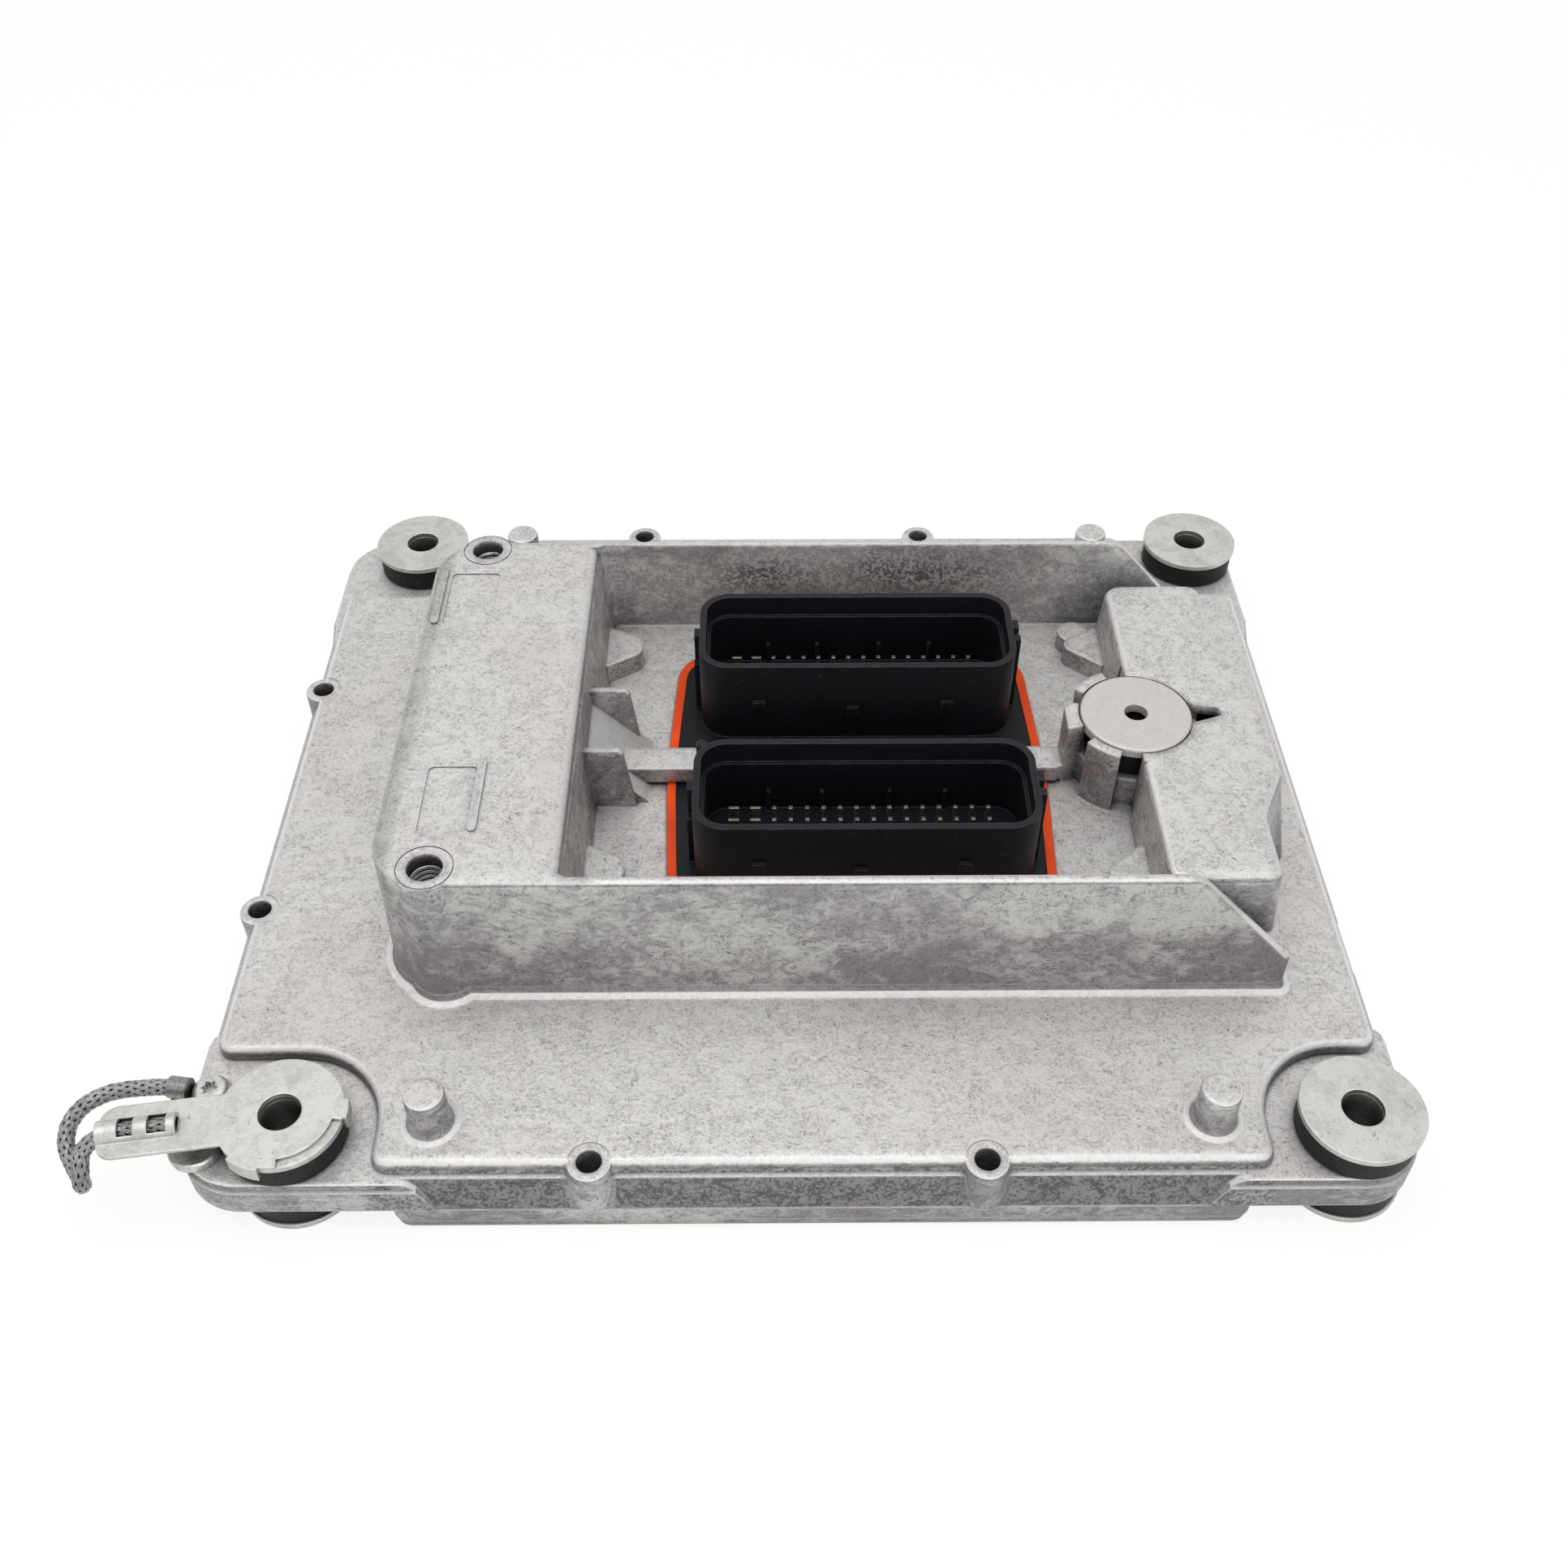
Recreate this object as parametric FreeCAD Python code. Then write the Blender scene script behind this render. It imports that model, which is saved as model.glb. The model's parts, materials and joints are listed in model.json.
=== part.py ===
"""Engine control unit: die-cast housing with a connector tower, on four rubber isolators.

The origin is the centre of the isolator pattern, on the plane of the lower washers' undersides.
X runs along the long side, Y toward the back, Z up through the isolators. Lengths are millimetres.
"""
import math
import os

import FreeCAD
import Part

# Isolators and their washers
PATTERN_X = 240.0
PATTERN_Y = 210.0
WASHER_RADIUS = 14.0
WASHER_THICK = 1.5
WASHER_HOLE = 4.8
STACK_HEIGHT = 25.0
RUBBER_RADIUS = 13.5
NECK_RADIUS = 10.0
SLEEVE_RADIUS = 6.6

# Heights of the housing
COVER_BOTTOM = 0.5
COVER_THICK = 2.0
GASKET_THICK = 0.5
EAR_BOTTOM = 7.5
RIM_TOP = 7.7
EAR_TOP = 16.7
DECK_TOP = 20.7
FLOOR_TOP = 31.0
BLOCK_TOP = 50.0
TOWER_TOP = 58.9
SKIN = 3.0

# Outline of the housing
MARGIN_LEFT = 26.0
MARGIN_RIGHT = 15.5
MARGIN_FRONT = 14.0
MARGIN_BACK = 12.0
SIDE_LEAN = 5.6
END_LEAN = 3.6
DECK_LEDGE = 1.0
RIM_WIDTH = 3.0
RIM_POCKET = 23.0
DECK_POCKET = 19.5
DECK_ROUND = 2.5
CORNER_ROUND = 4.0
EAR_LEFT = 24.4
EAR_RIGHT = 14.3
EAR_SHOULDER = 28.0
EAR_ROUND = 14.0
EAR_REACH = 33.6
EAR_STEP = 2.0
EAR_INSET = 0.8

# Tower over the connectors
TOWER_LEFT = 102.5
TOWER_RIGHT = 111.0
TOWER_FRONT = 67.6
TOWER_BACK = 59.5
TOWER_DRAFT = 0.8
TOWER_ROUND = 14.0
TOWER_FOOT = 2.2
SLOPE_START = 82.0
SLOPE_RUN = 27.4
WALL_THICK = 2.0
POCKET_LEFT = 59.0
POCKET_DRAFT = 2.8
POCKET_LIP = 3.0
STUD_BOSS = 6.6
STUD_FLARE = 1.8
STUD_HOLE = 4.2
STUD_DEPTH = 20.0
STUD_X = 89.3
STUD_BACK = 55.5
STUD_FRONT = 62.5

# Block beside the pocket, and the socket of the vent
BLOCK_LEFT = 81.5
BLOCK_RIGHT = 107.9
BLOCK_SWELL = 6.9
BLOCK_FRONT = 58.5
BLOCK_BACK = 50.6
BLOCK_DRAFT = 2.2
VENT_X = 82.0
VENT_Y = -2.8
VENT_RADIUS = 14.2
VENT_CAP = 2.5
VENT_PROUD = 0.5
VENT_HOLE = 3.0
VENT_BODY = 12.0
SOCKET_GAP = 0.4
SOCKET_WALL = 2.6
SOCKET_FLOOR = 40.0

# Opening for the connectors, and the bar across it
MIDDLE_Y = -4.5
OPENING_LEFT = 38.6
OPENING_RIGHT = 60.8
OPENING_MARGIN = 3.6
OPENING_BULGE = 2.2
OPENING_ROUND = 11.0
SEAL_WIDTH = 2.2
SEAL_PROUD = 0.8
BAR_WIDTH = 8.0
BAR_THICK = 4.7
BAR_TOP = 37.0
RIB_TOP = 50.5
RIB_THICK = 1.5
WEB_HALF = 10.5
PAD_HEIGHT = 6.0
PEG_RADIUS = 4.5
PEG_HEIGHT = 11.3
PEG_FLARE = 1.8
PEG_IN = 32.5
PEG_IN_FRONT = 0.5
PEG_IN_BACK = 5.2

# Connector header
SHROUD_LENGTH = 83.0
SHROUD_WIDTH = 30.5
SHROUD_X = 11.5
SHROUD_SPACING = 57.3
SHROUD_TOP = 56.0
SHROUD_ROUND = 8.0
SHROUD_WALL = 1.7
SHROUD_STEP = 6.0
STEP_DEPTH = 0.9
SHROUD_FLOOR = 34.5
BASE_PROUD = 0.5
FLANGE_THICK = 3.0
FLANGE_MARGIN = 6.0
PIN_PITCH = 4.1
PIN_SIZE = 1.0
BLADE_WIDTH = 2.6
BLADE_THICK = 0.8
PIN_COUNT = 14
PIN_ROWS = 4
PIN_START = -22.0
BLADE_START = -32.0
BLADE_PITCH = 5.3
PIN_TIP = 41.0

# Fasteners
COVER_SCREW = 1.9
COVER_HEAD = 3.6
COVER_BOSS = 5.0
BOSS_TOP = 20.4
CORED_HOLE = 2.95
TAP_DEPTH = 8.5
BOARD_SCREW = 1.25
BOARD_HEAD = 2.8
BOARD_POST = 3.6
POST_SIDE = 58.0
POST_RIGHT_IN = 2.0
POST_ROW = 62.0
POST_ROW_IN = 11.0
HEADER_SCREW = 1.6
HEADER_HEAD = 3.2
SCREW_GAP = 0.35

# Ground strap
PLATE_THICK = 0.8
TONGUE_ANGLE = 188.0
TONGUE_LENGTH = 39.0
TONGUE_WIDTH = 13.4
BARREL_RADIUS = 3.0
BARREL_START = 22.0
BRAID_RADIUS = 2.0
CLAW_DROP = 4.0
LUG_OUT = 19.5
LUG_BACK = 10.5
LUG_RADIUS = 4.6
GROUND_SCREW = 2.0
GROUND_HEAD = 4.2
GROUND_HEAD_HEIGHT = 2.6
CORNER_OUT = 19.7
CORNER_AHEAD = 3.7
CORNER_HEAD = 6.0
CORNER_HEAD_HEIGHT = 2.3
CORNER_SCREW = 2.5

# Circuit board
BOARD_BOTTOM = 9.0
BOARD_THICK = 1.6
BOARD_GAP = 4.0
CAPACITOR_RADIUS = 9.0
CAPACITOR_HEIGHT = 38.0
CHOKE_RADIUS = 11.0
CHOKE_HEIGHT = 24.0
TRANSISTOR = 10.0
TRANSISTOR_HEIGHT = 4.5

# Values that follow from the sizes above
REACH_LEFT = PATTERN_X / 2 + MARGIN_LEFT
REACH_RIGHT = PATTERN_X / 2 + MARGIN_RIGHT
REACH_FRONT = PATTERN_Y / 2 + MARGIN_FRONT
REACH_BACK = PATTERN_Y / 2 + MARGIN_BACK
BLOCK_BULGE = BLOCK_RIGHT + BLOCK_SWELL
OPENING_HALF = (SHROUD_SPACING + SHROUD_WIDTH) / 2 + OPENING_MARGIN
PEG_X = PATTERN_X / 2 - PEG_IN
PEG_FRONT = PATTERN_Y / 2 - PEG_IN_FRONT
PEG_BACK = PATTERN_Y / 2 - PEG_IN_BACK
LUG_X = -PATTERN_X / 2 - LUG_OUT
LUG_Y = -PATTERN_Y / 2 + LUG_BACK
CORNER_X = -PATTERN_X / 2 - CORNER_OUT
CORNER_Y = -PATTERN_Y / 2 - CORNER_AHEAD
COVER_TOP = COVER_BOTTOM + COVER_THICK
RIM_BOTTOM = COVER_TOP + GASKET_THICK
DECK_UNDER = DECK_TOP - SKIN
FLOOR_UNDER = FLOOR_TOP - SKIN
BOARD_TOP = BOARD_BOTTOM + BOARD_THICK
BASE_TOP = FLOOR_TOP + BASE_PROUD
RUBBER_BOTTOM = WASHER_THICK
RUBBER_TOP = STACK_HEIGHT - WASHER_THICK
VENT_TOP = BLOCK_TOP + VENT_PROUD
SOCKET_RADIUS = VENT_RADIUS + SOCKET_GAP
RING_RADIUS = SOCKET_RADIUS + SOCKET_WALL
FRONT_SHROUD = MIDDLE_Y - SHROUD_SPACING / 2
REAR_SHROUD = MIDDLE_Y + SHROUD_SPACING / 2
CORNERS = {
    "front_left": (-PATTERN_X / 2, -PATTERN_Y / 2),
    "front_right": (PATTERN_X / 2, -PATTERN_Y / 2),
    "rear_left": (-PATTERN_X / 2, PATTERN_Y / 2),
    "rear_right": (PATTERN_X / 2, PATTERN_Y / 2),
}
OPEN_SCREWS = [
    (-51.5, -REACH_FRONT + COVER_BOSS - 0.7),
    (36.0, -REACH_FRONT + COVER_BOSS - 0.7),
    (-51.4, REACH_BACK - COVER_BOSS + 1.8),
    (35.7, REACH_BACK - COVER_BOSS + 1.8),
    (-REACH_LEFT + COVER_BOSS + 1.4, 41.2),
    (-REACH_LEFT + COVER_BOSS + 1.4, -41.6),
]
BLIND_SCREWS = [
    (REACH_RIGHT - COVER_BOSS - 2.2, 45.0),
    (REACH_RIGHT - COVER_BOSS - 2.2, -45.0),
]
BOARD_SCREWS = [
    (-PATTERN_X / 2, -POST_SIDE),
    (-PATTERN_X / 2, POST_SIDE),
    (PATTERN_X / 2 - POST_RIGHT_IN, -POST_SIDE),
    (PATTERN_X / 2 - POST_RIGHT_IN, POST_SIDE),
    (-POST_ROW, -PATTERN_Y / 2 + POST_ROW_IN),
    (POST_ROW, -PATTERN_Y / 2 + POST_ROW_IN),
    (-POST_ROW, PATTERN_Y / 2 - POST_ROW_IN),
    (POST_ROW, PATTERN_Y / 2 - POST_ROW_IN),
]
HEADER_SCREWS = [
    (-51.8, MIDDLE_Y - 39.3),
    (-51.8, MIDDLE_Y + 44.3),
    (76.0, MIDDLE_Y - 40.0),
    (76.0, MIDDLE_Y + 43.8),
]
STUDS = [(-STUD_X, -STUD_FRONT), (-STUD_X, STUD_BACK)]


def vec(x, y, z=0.0):
    """Return a vector."""
    return FreeCAD.Vector(x, y, z)


def outline(points, z):
    """Return a closed wire at height z through (x, y, radius) corners, with tangent arcs."""
    count = len(points)
    starts = []
    mids = []
    ends = []
    for i in range(count):
        here = vec(points[i][0], points[i][1], z)
        radius = points[i][2]
        before = vec(points[i - 1][0], points[i - 1][1], z) - here
        after = vec(points[(i + 1) % count][0], points[(i + 1) % count][1], z) - here
        before.normalize()
        after.normalize()
        half = before.getAngle(after) / 2
        if radius <= 0 or half > math.pi / 2 - 1e-6:
            starts.append(here)
            mids.append(None)
            ends.append(here)
            continue
        run = radius / math.tan(half)
        axis = before + after
        axis.normalize()
        centre = here + axis * (radius / math.sin(half))
        starts.append(here + before * run)
        mids.append(centre - axis * radius)
        ends.append(here + after * run)
    edges = []
    for i in range(count):
        if mids[i] is not None:
            edges.append(Part.Arc(starts[i], mids[i], ends[i]).toShape())
        gap = starts[(i + 1) % count] - ends[i]
        if gap.Length > 1e-6:
            edges.append(Part.LineSegment(ends[i], starts[(i + 1) % count]).toShape())
    return Part.Wire(edges)


def prism(points, low, high):
    """Return the outline extruded between two heights."""
    return Part.Face(outline(points, low)).extrude(vec(0, 0, high - low))


def taper(points_low, low, points_high, high):
    """Return a solid lofted between two outlines with the same corners."""
    return Part.makeLoft([outline(points_low, low), outline(points_high, high)], True, True)


def disc(x, y, radius, low, high):
    """Return an upright cylinder."""
    return Part.makeCylinder(radius, high - low, vec(x, y, low))


def ring(x, y, outer, inner, low, high):
    """Return an upright tube."""
    return disc(x, y, outer, low, high).cut(disc(x, y, inner, low - 1, high + 1))


def box(x0, x1, y0, y1, z0, z1):
    """Return a box between limits."""
    return Part.makeBox(x1 - x0, y1 - y0, z1 - z0, vec(x0, y0, z0))


def side_profile(points, y0, y1):
    """Return an (x, z) profile extruded along Y."""
    corners = [vec(x, y0, z) for x, z in points]
    return Part.Face(Part.makePolygon(corners + corners[:1])).extrude(vec(0, y1 - y0, 0))


def rounded_box(x0, x1, y0, y1, radius):
    """Return the corners of a rectangle with rounded corners."""
    return [(x0, y0, radius), (x1, y0, radius), (x1, y1, radius), (x0, y1, radius)]


def edges_at(shape, z):
    """Return the edges that lie wholly at height z."""
    found = []
    for edge in shape.Edges:
        bounds = edge.BoundBox
        if abs(bounds.ZMin - z) < 1e-4 and abs(bounds.ZMax - z) < 1e-4:
            found.append(edge)
    return found


def joined(shapes):
    """Return the shapes fused into one."""
    result = shapes[0].multiFuse(shapes[1:])
    return result.removeSplitter()


def cut_all(shape, tools):
    """Return the shape less every tool."""
    return shape.cut(tools)


def group(shapes):
    """Return separate solids as one compound."""
    return Part.makeCompound(shapes)


def body_outline(side, end, pocket):
    """Return the housing's corners, inset at its sides and ends, clear of each isolator."""
    left = -REACH_LEFT + side
    right = REACH_RIGHT - side
    front = -REACH_FRONT + end
    back = REACH_BACK - end
    inner_x = PATTERN_X / 2 - pocket
    inner_y = PATTERN_Y / 2 - pocket
    small = CORNER_ROUND
    return [
        (-inner_x, front, small),
        (inner_x, front, small),
        (inner_x, -inner_y, pocket),
        (right, -inner_y, small),
        (right, inner_y, small),
        (inner_x, inner_y, pocket),
        (inner_x, back, small),
        (-inner_x, back, small),
        (-inner_x, inner_y, pocket),
        (left, inner_y, small),
        (left, -inner_y, small),
        (-inner_x, -inner_y, pocket),
    ]


def opening_outline(inset):
    """Return the barrel-shaped opening for the connectors, inset all round."""
    left = -OPENING_LEFT + inset
    right = OPENING_RIGHT - inset
    half = OPENING_HALF - inset
    front = MIDDLE_Y - half
    back = MIDDLE_Y + half
    corner = OPENING_ROUND - inset
    bow = 260.0
    return [
        (left + OPENING_BULGE, front, corner),
        (right - OPENING_BULGE, front, corner),
        (right, MIDDLE_Y, bow),
        (right - OPENING_BULGE, back, corner),
        (left + OPENING_BULGE, back, corner),
        (left, MIDDLE_Y, bow),
    ]


def sector(x, y, radius, start, stop, low, high):
    """Return a wedge of a disc between two angles in degrees, for cutting."""
    points = [(x, y, 0)]
    steps = 4
    for i in range(steps + 1):
        angle = math.radians(start + (stop - start) * i / steps)
        points.append((x + radius * math.cos(angle), y + radius * math.sin(angle), 0))
    return prism(points, low, high)


def ear_outlines(inset):
    """Return the corners of the four ears, inset at their outer sides."""
    left = -PATTERN_X / 2 - EAR_LEFT + inset
    right = PATTERN_X / 2 + EAR_RIGHT - inset
    front = -REACH_FRONT + inset
    back = REACH_BACK - inset
    inner = PATTERN_X / 2 - EAR_REACH
    near = PATTERN_Y / 2 - EAR_SHOULDER
    wide = EAR_ROUND + 1.0 - inset
    round_right = EAR_ROUND - inset
    return [
        [(left, front, wide), (-inner, front, 0), (-inner, -near, 0), (left, -near, 2.5)],
        [(inner, front, 0), (right, front, round_right), (right, -near, 3.0), (inner, -near, 0)],
        [
            (right - 0.4, near, 3.0), (right - 0.4, back, round_right),
            (inner, back, 0), (inner, near - 15.0, 0), (right - 2.8, near - 15.0, 0),
        ],
        [
            (-inner, back, 0), (left, back, wide),
            (left, near, 3.0), (left + 2.2, near - 15.0, 0), (-inner, near - 15.0, 0),
        ],
    ]


def ears():
    """Return the four ears that hold the isolators, each with a stepped edge and a sloped end."""
    step = EAR_TOP - EAR_STEP
    inner = PATTERN_X / 2 - EAR_REACH
    top = EAR_TOP
    ramps = []
    for side in (-1, 1):
        ramps.append(side_profile(
            [
                (side * (inner + 7.6), top + 1), (side * (inner + 7.6), top),
                (side * (inner + 5.2), top - 0.6), (side * (inner + 3.4), top - 2.2),
                (side * (inner + 1.6), top - 5.2), (side * inner, RIM_TOP),
                (side * (inner - 1), RIM_TOP), (side * (inner - 1), top + 1),
            ],
            -REACH_FRONT - 5, REACH_BACK + 5))
    result = []
    for wide, narrow in zip(ear_outlines(0.0), ear_outlines(EAR_INSET)):
        upper = prism(narrow, step - 1.0, EAR_TOP)
        upper = upper.makeFillet(0.7, edges_at(upper, EAR_TOP))
        ear = prism(wide, EAR_BOTTOM, step).fuse(upper)
        result.append(cut_all(ear, ramps))
    return result


def cavity():
    """Return the space inside the housing, less what stands in it."""
    inset_side = SIDE_LEAN + SKIN
    inset_end = END_LEAN + SKIN
    pocket = RIM_POCKET + SKIN + 1.0
    main = prism(body_outline(inset_side, inset_end, pocket), 0.0, DECK_UNDER)
    left = -TOWER_LEFT + SKIN
    right = TOWER_RIGHT - SKIN
    front = -TOWER_FRONT + SKIN
    back = TOWER_BACK - SKIN
    under = prism(rounded_box(left, right, front, back, 8.0), DECK_UNDER - 1.0, FLOOR_UNDER)
    block = prism(
        rounded_box(left, -POCKET_LEFT - SKIN, front, back, 8.0), FLOOR_UNDER - 1.0, TOWER_TOP - SKIN)
    second = prism(
        rounded_box(BLOCK_LEFT + SKIN, BLOCK_RIGHT - SKIN, -BLOCK_FRONT + SKIN, BLOCK_BACK - SKIN, 4.0),
        FLOOR_UNDER - 1.0, BLOCK_TOP - SKIN)
    space = joined([main, under, block, second])
    solid = []
    for x, y in OPEN_SCREWS + BLIND_SCREWS:
        solid.append(disc(x, y, COVER_BOSS, -1.0, DECK_TOP))
    for x, y in BOARD_SCREWS:
        solid.append(disc(x, y, BOARD_POST, BOARD_TOP, DECK_TOP))
    for x, y in STUDS:
        solid.append(disc(x, y, STUD_BOSS + 0.6, TOWER_TOP - STUD_DEPTH - SKIN, TOWER_TOP))
    solid.append(disc(VENT_X, VENT_Y, RING_RADIUS, FLOOR_UNDER, TOWER_TOP))
    core = disc(VENT_X, VENT_Y, SOCKET_RADIUS - SKIN, FLOOR_UNDER - 1.0, SOCKET_FLOOR - SKIN)
    return cut_all(space, solid).fuse(core)


def left_wall_x(z):
    """Return where the pocket's left wall stands at height z."""
    share = (TOWER_TOP - z) / (TOWER_TOP - FLOOR_TOP)
    return -POCKET_LEFT + POCKET_DRAFT * share


def tower_foot():
    """Return the hollow curve between the deck and the tower, in two tapers, and round the columns."""
    stages = ((0.0, 1.0), (0.3, 0.286), (1.0, 0.0))
    pieces = []
    for first, second in zip(stages, stages[1:]):
        outlines = []
        for rise, spread in (first, second):
            more = TOWER_DRAFT + TOWER_FOOT * spread
            corners = rounded_box(
                -TOWER_LEFT - more, TOWER_RIGHT + TOWER_FOOT * spread,
                -TOWER_FRONT - more, TOWER_BACK + more, 1.5 + TOWER_FOOT * spread)
            for i in (0, 3):
                corners[i] = (corners[i][0], corners[i][1], TOWER_ROUND + TOWER_FOOT * spread)
            outlines.append(corners)
        low = DECK_TOP + TOWER_FOOT * first[0]
        high = DECK_TOP + TOWER_FOOT * second[0]
        pieces.append(taper(outlines[0], low, outlines[1], high))
        for x, y in STUDS:
            wide = STUD_BOSS + STUD_FLARE
            pieces.append(Part.makeCone(
                wide + TOWER_FOOT * first[1], wide + TOWER_FOOT * second[1], high - low, vec(x, y, low)))
    return pieces


def pocket_lip():
    """Return what rounds the roof's edge down into the pocket's left wall."""
    front = -TOWER_FRONT + WALL_THICK + 1.0
    back = TOWER_BACK - WALL_THICK - 1.0
    corner = box(
        -POCKET_LEFT - POCKET_LIP, -POCKET_LEFT + 0.5, front, back, TOWER_TOP - POCKET_LIP, TOWER_TOP + 1)
    round_bar = Part.makeCylinder(
        POCKET_LIP, back - front + 2,
        vec(-POCKET_LEFT - POCKET_LIP, front - 1, TOWER_TOP - POCKET_LIP), vec(0, 1, 0))
    return corner.cut(round_bar)


def tower():
    """Return the tower with its open pocket, before the inside is hollowed."""
    low = DECK_UNDER
    base = rounded_box(
        -TOWER_LEFT - TOWER_DRAFT, TOWER_RIGHT, -TOWER_FRONT - TOWER_DRAFT, TOWER_BACK + TOWER_DRAFT, 1.5)
    top = rounded_box(-TOWER_LEFT, TOWER_RIGHT, -TOWER_FRONT, TOWER_BACK, 1.5)
    for corners in (base, top):
        corners[0] = (corners[0][0], corners[0][1], TOWER_ROUND)
        corners[3] = (corners[3][0], corners[3][1], TOWER_ROUND)
    shape = taper(base, low, top, TOWER_TOP)
    shape = shape.makeFillet(1.2, edges_at(shape, TOWER_TOP))
    pieces = tower_foot()
    for x, y in STUDS:
        column = Part.makeCone(
            STUD_BOSS + STUD_FLARE, STUD_BOSS + 0.3, TOWER_TOP - low, vec(x, y, low))
        pieces.append(column.makeFillet(0.6, edges_at(column, TOWER_TOP)))
    shape = shape.multiFuse(pieces)
    pocket_top = rounded_box(
        -POCKET_LEFT, TOWER_RIGHT + 20, -TOWER_FRONT + WALL_THICK, TOWER_BACK - WALL_THICK, 2.0)
    pocket_low = rounded_box(
        -POCKET_LEFT + POCKET_DRAFT, TOWER_RIGHT + 20,
        -TOWER_FRONT + WALL_THICK + TOWER_DRAFT, TOWER_BACK - WALL_THICK - TOWER_DRAFT, 2.0)
    pocket = taper(pocket_low, FLOOR_TOP, pocket_top, TOWER_TOP)
    lip = prism(pocket_top, TOWER_TOP, TOWER_TOP + 5)
    slope = side_profile(
        [
            (SLOPE_START, TOWER_TOP + 5),
            (SLOPE_START, TOWER_TOP),
            (SLOPE_START + 2.6, TOWER_TOP - 0.5),
            (SLOPE_START + 5.2, TOWER_TOP - 2.0),
            (SLOPE_START + 7.2, TOWER_TOP - 4.2),
            (SLOPE_START + SLOPE_RUN, FLOOR_TOP + 1.0),
            (TOWER_RIGHT + 20, FLOOR_TOP + 1.0),
            (TOWER_RIGHT + 20, TOWER_TOP + 5),
        ],
        -TOWER_FRONT - 10, TOWER_BACK + 10)
    return cut_all(shape, [pocket, lip, slope, pocket_lip()])


def block():
    """Return the block at the right of the pocket."""
    low = DECK_UNDER
    top = [
        (BLOCK_LEFT, -BLOCK_FRONT, 3.0),
        (BLOCK_RIGHT, -BLOCK_FRONT, 3.0),
        (BLOCK_RIGHT, MIDDLE_Y - 34.0, 8.0),
        (BLOCK_BULGE, MIDDLE_Y - 19.0, 5.0),
        (BLOCK_BULGE, MIDDLE_Y + 18.5, 5.0),
        (BLOCK_RIGHT, MIDDLE_Y + 24.0, 6.0),
        (BLOCK_RIGHT, BLOCK_BACK, 4.0),
        (BLOCK_LEFT, BLOCK_BACK, 5.0),
    ]
    out = BLOCK_DRAFT
    base = [
        (BLOCK_LEFT - out, -BLOCK_FRONT - out, 3.0),
        (BLOCK_RIGHT + out, -BLOCK_FRONT - out, 3.0),
        (BLOCK_RIGHT + out, MIDDLE_Y - 38.0, 8.0),
        (BLOCK_BULGE + 3 * out, MIDDLE_Y - 21.0, 5.0),
        (BLOCK_BULGE + 3 * out, MIDDLE_Y + 20.0, 5.0),
        (BLOCK_RIGHT + out, MIDDLE_Y + 26.0, 6.0),
        (BLOCK_RIGHT + out, BLOCK_BACK + out, 4.0),
        (BLOCK_LEFT - out, BLOCK_BACK + out, 5.0),
    ]
    shape = taper(base, low, top, BLOCK_TOP)
    return shape.makeFillet(2.2, edges_at(shape, BLOCK_TOP))


def gussets():
    """Return the ribs, web, bar and pads in the pocket."""
    wall = left_wall_x(BAR_TOP) - 2.0
    floor = FLOOR_TOP - 1.0
    reach = -POCKET_LEFT + 9.9
    foot = -OPENING_LEFT - 4.0
    rear_rib = side_profile(
        [
            (wall, floor), (wall, RIB_TOP), (reach, RIB_TOP), (reach + 1.1, RIB_TOP - 1.1),
            (reach + 3.0, FLOOR_TOP + 3.2), (foot, FLOOR_TOP), (foot, floor),
        ],
        MIDDLE_Y + WEB_HALF, MIDDLE_Y + WEB_HALF + RIB_THICK)
    front_rib = side_profile(
        [
            (wall, floor), (wall, RIB_TOP), (reach - 0.3, RIB_TOP), (reach + 0.8, RIB_TOP - 1.1),
            (reach + 3.2, FLOOR_TOP), (reach + 3.2, floor),
        ],
        MIDDLE_Y - WEB_HALF - RIB_THICK, MIDDLE_Y - WEB_HALF)
    web = side_profile(
        [
            (wall, floor), (wall, FLOOR_TOP + foot - wall), (foot, FLOOR_TOP), (foot, floor),
        ],
        MIDDLE_Y - WEB_HALF, MIDDLE_Y + WEB_HALF)
    bar = box(
        foot - 6.0, VENT_X - SOCKET_RADIUS,
        MIDDLE_Y - BAR_WIDTH / 2 - 0.5, MIDDLE_Y + BAR_WIDTH / 2 - 0.5, BAR_TOP - BAR_THICK, BAR_TOP)
    high = FLOOR_TOP + PAD_HEIGHT
    pads = []
    for y in (HEADER_SCREWS[0][1], HEADER_SCREWS[1][1]):
        pads.append(prism(
            [
                (wall, y - 8.3, 0), (wall + 2.5, y - 8.3, 0), (-46.6, y - 2.3, 4.0),
                (-47.6, y + 4.3, 4.0), (wall + 2.5, y + 8.3, 0), (wall, y + 8.3, 0),
            ],
            floor, high))
    for y, flip in ((HEADER_SCREWS[2][1], -1), (HEADER_SCREWS[3][1], 1)):
        corners = [
            (BLOCK_LEFT + 2, y - flip * 8.3, 0), (BLOCK_LEFT - 1.5, y - flip * 8.3, 0),
            (68.6, y + flip * 1.0, 3.0),
            (BLOCK_LEFT - 1.0, y + flip * 8.3, 0), (BLOCK_LEFT + 2, y + flip * 8.3, 0),
        ]
        if flip < 0:
            corners.reverse()
        pads.append(prism(corners, floor, high))
    knob = disc(74.3, HEADER_SCREWS[3][1] + 7.2, 4.4, floor, high - 0.8)
    return [rear_rib, front_rib, web, bar, knob] + pads


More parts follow.
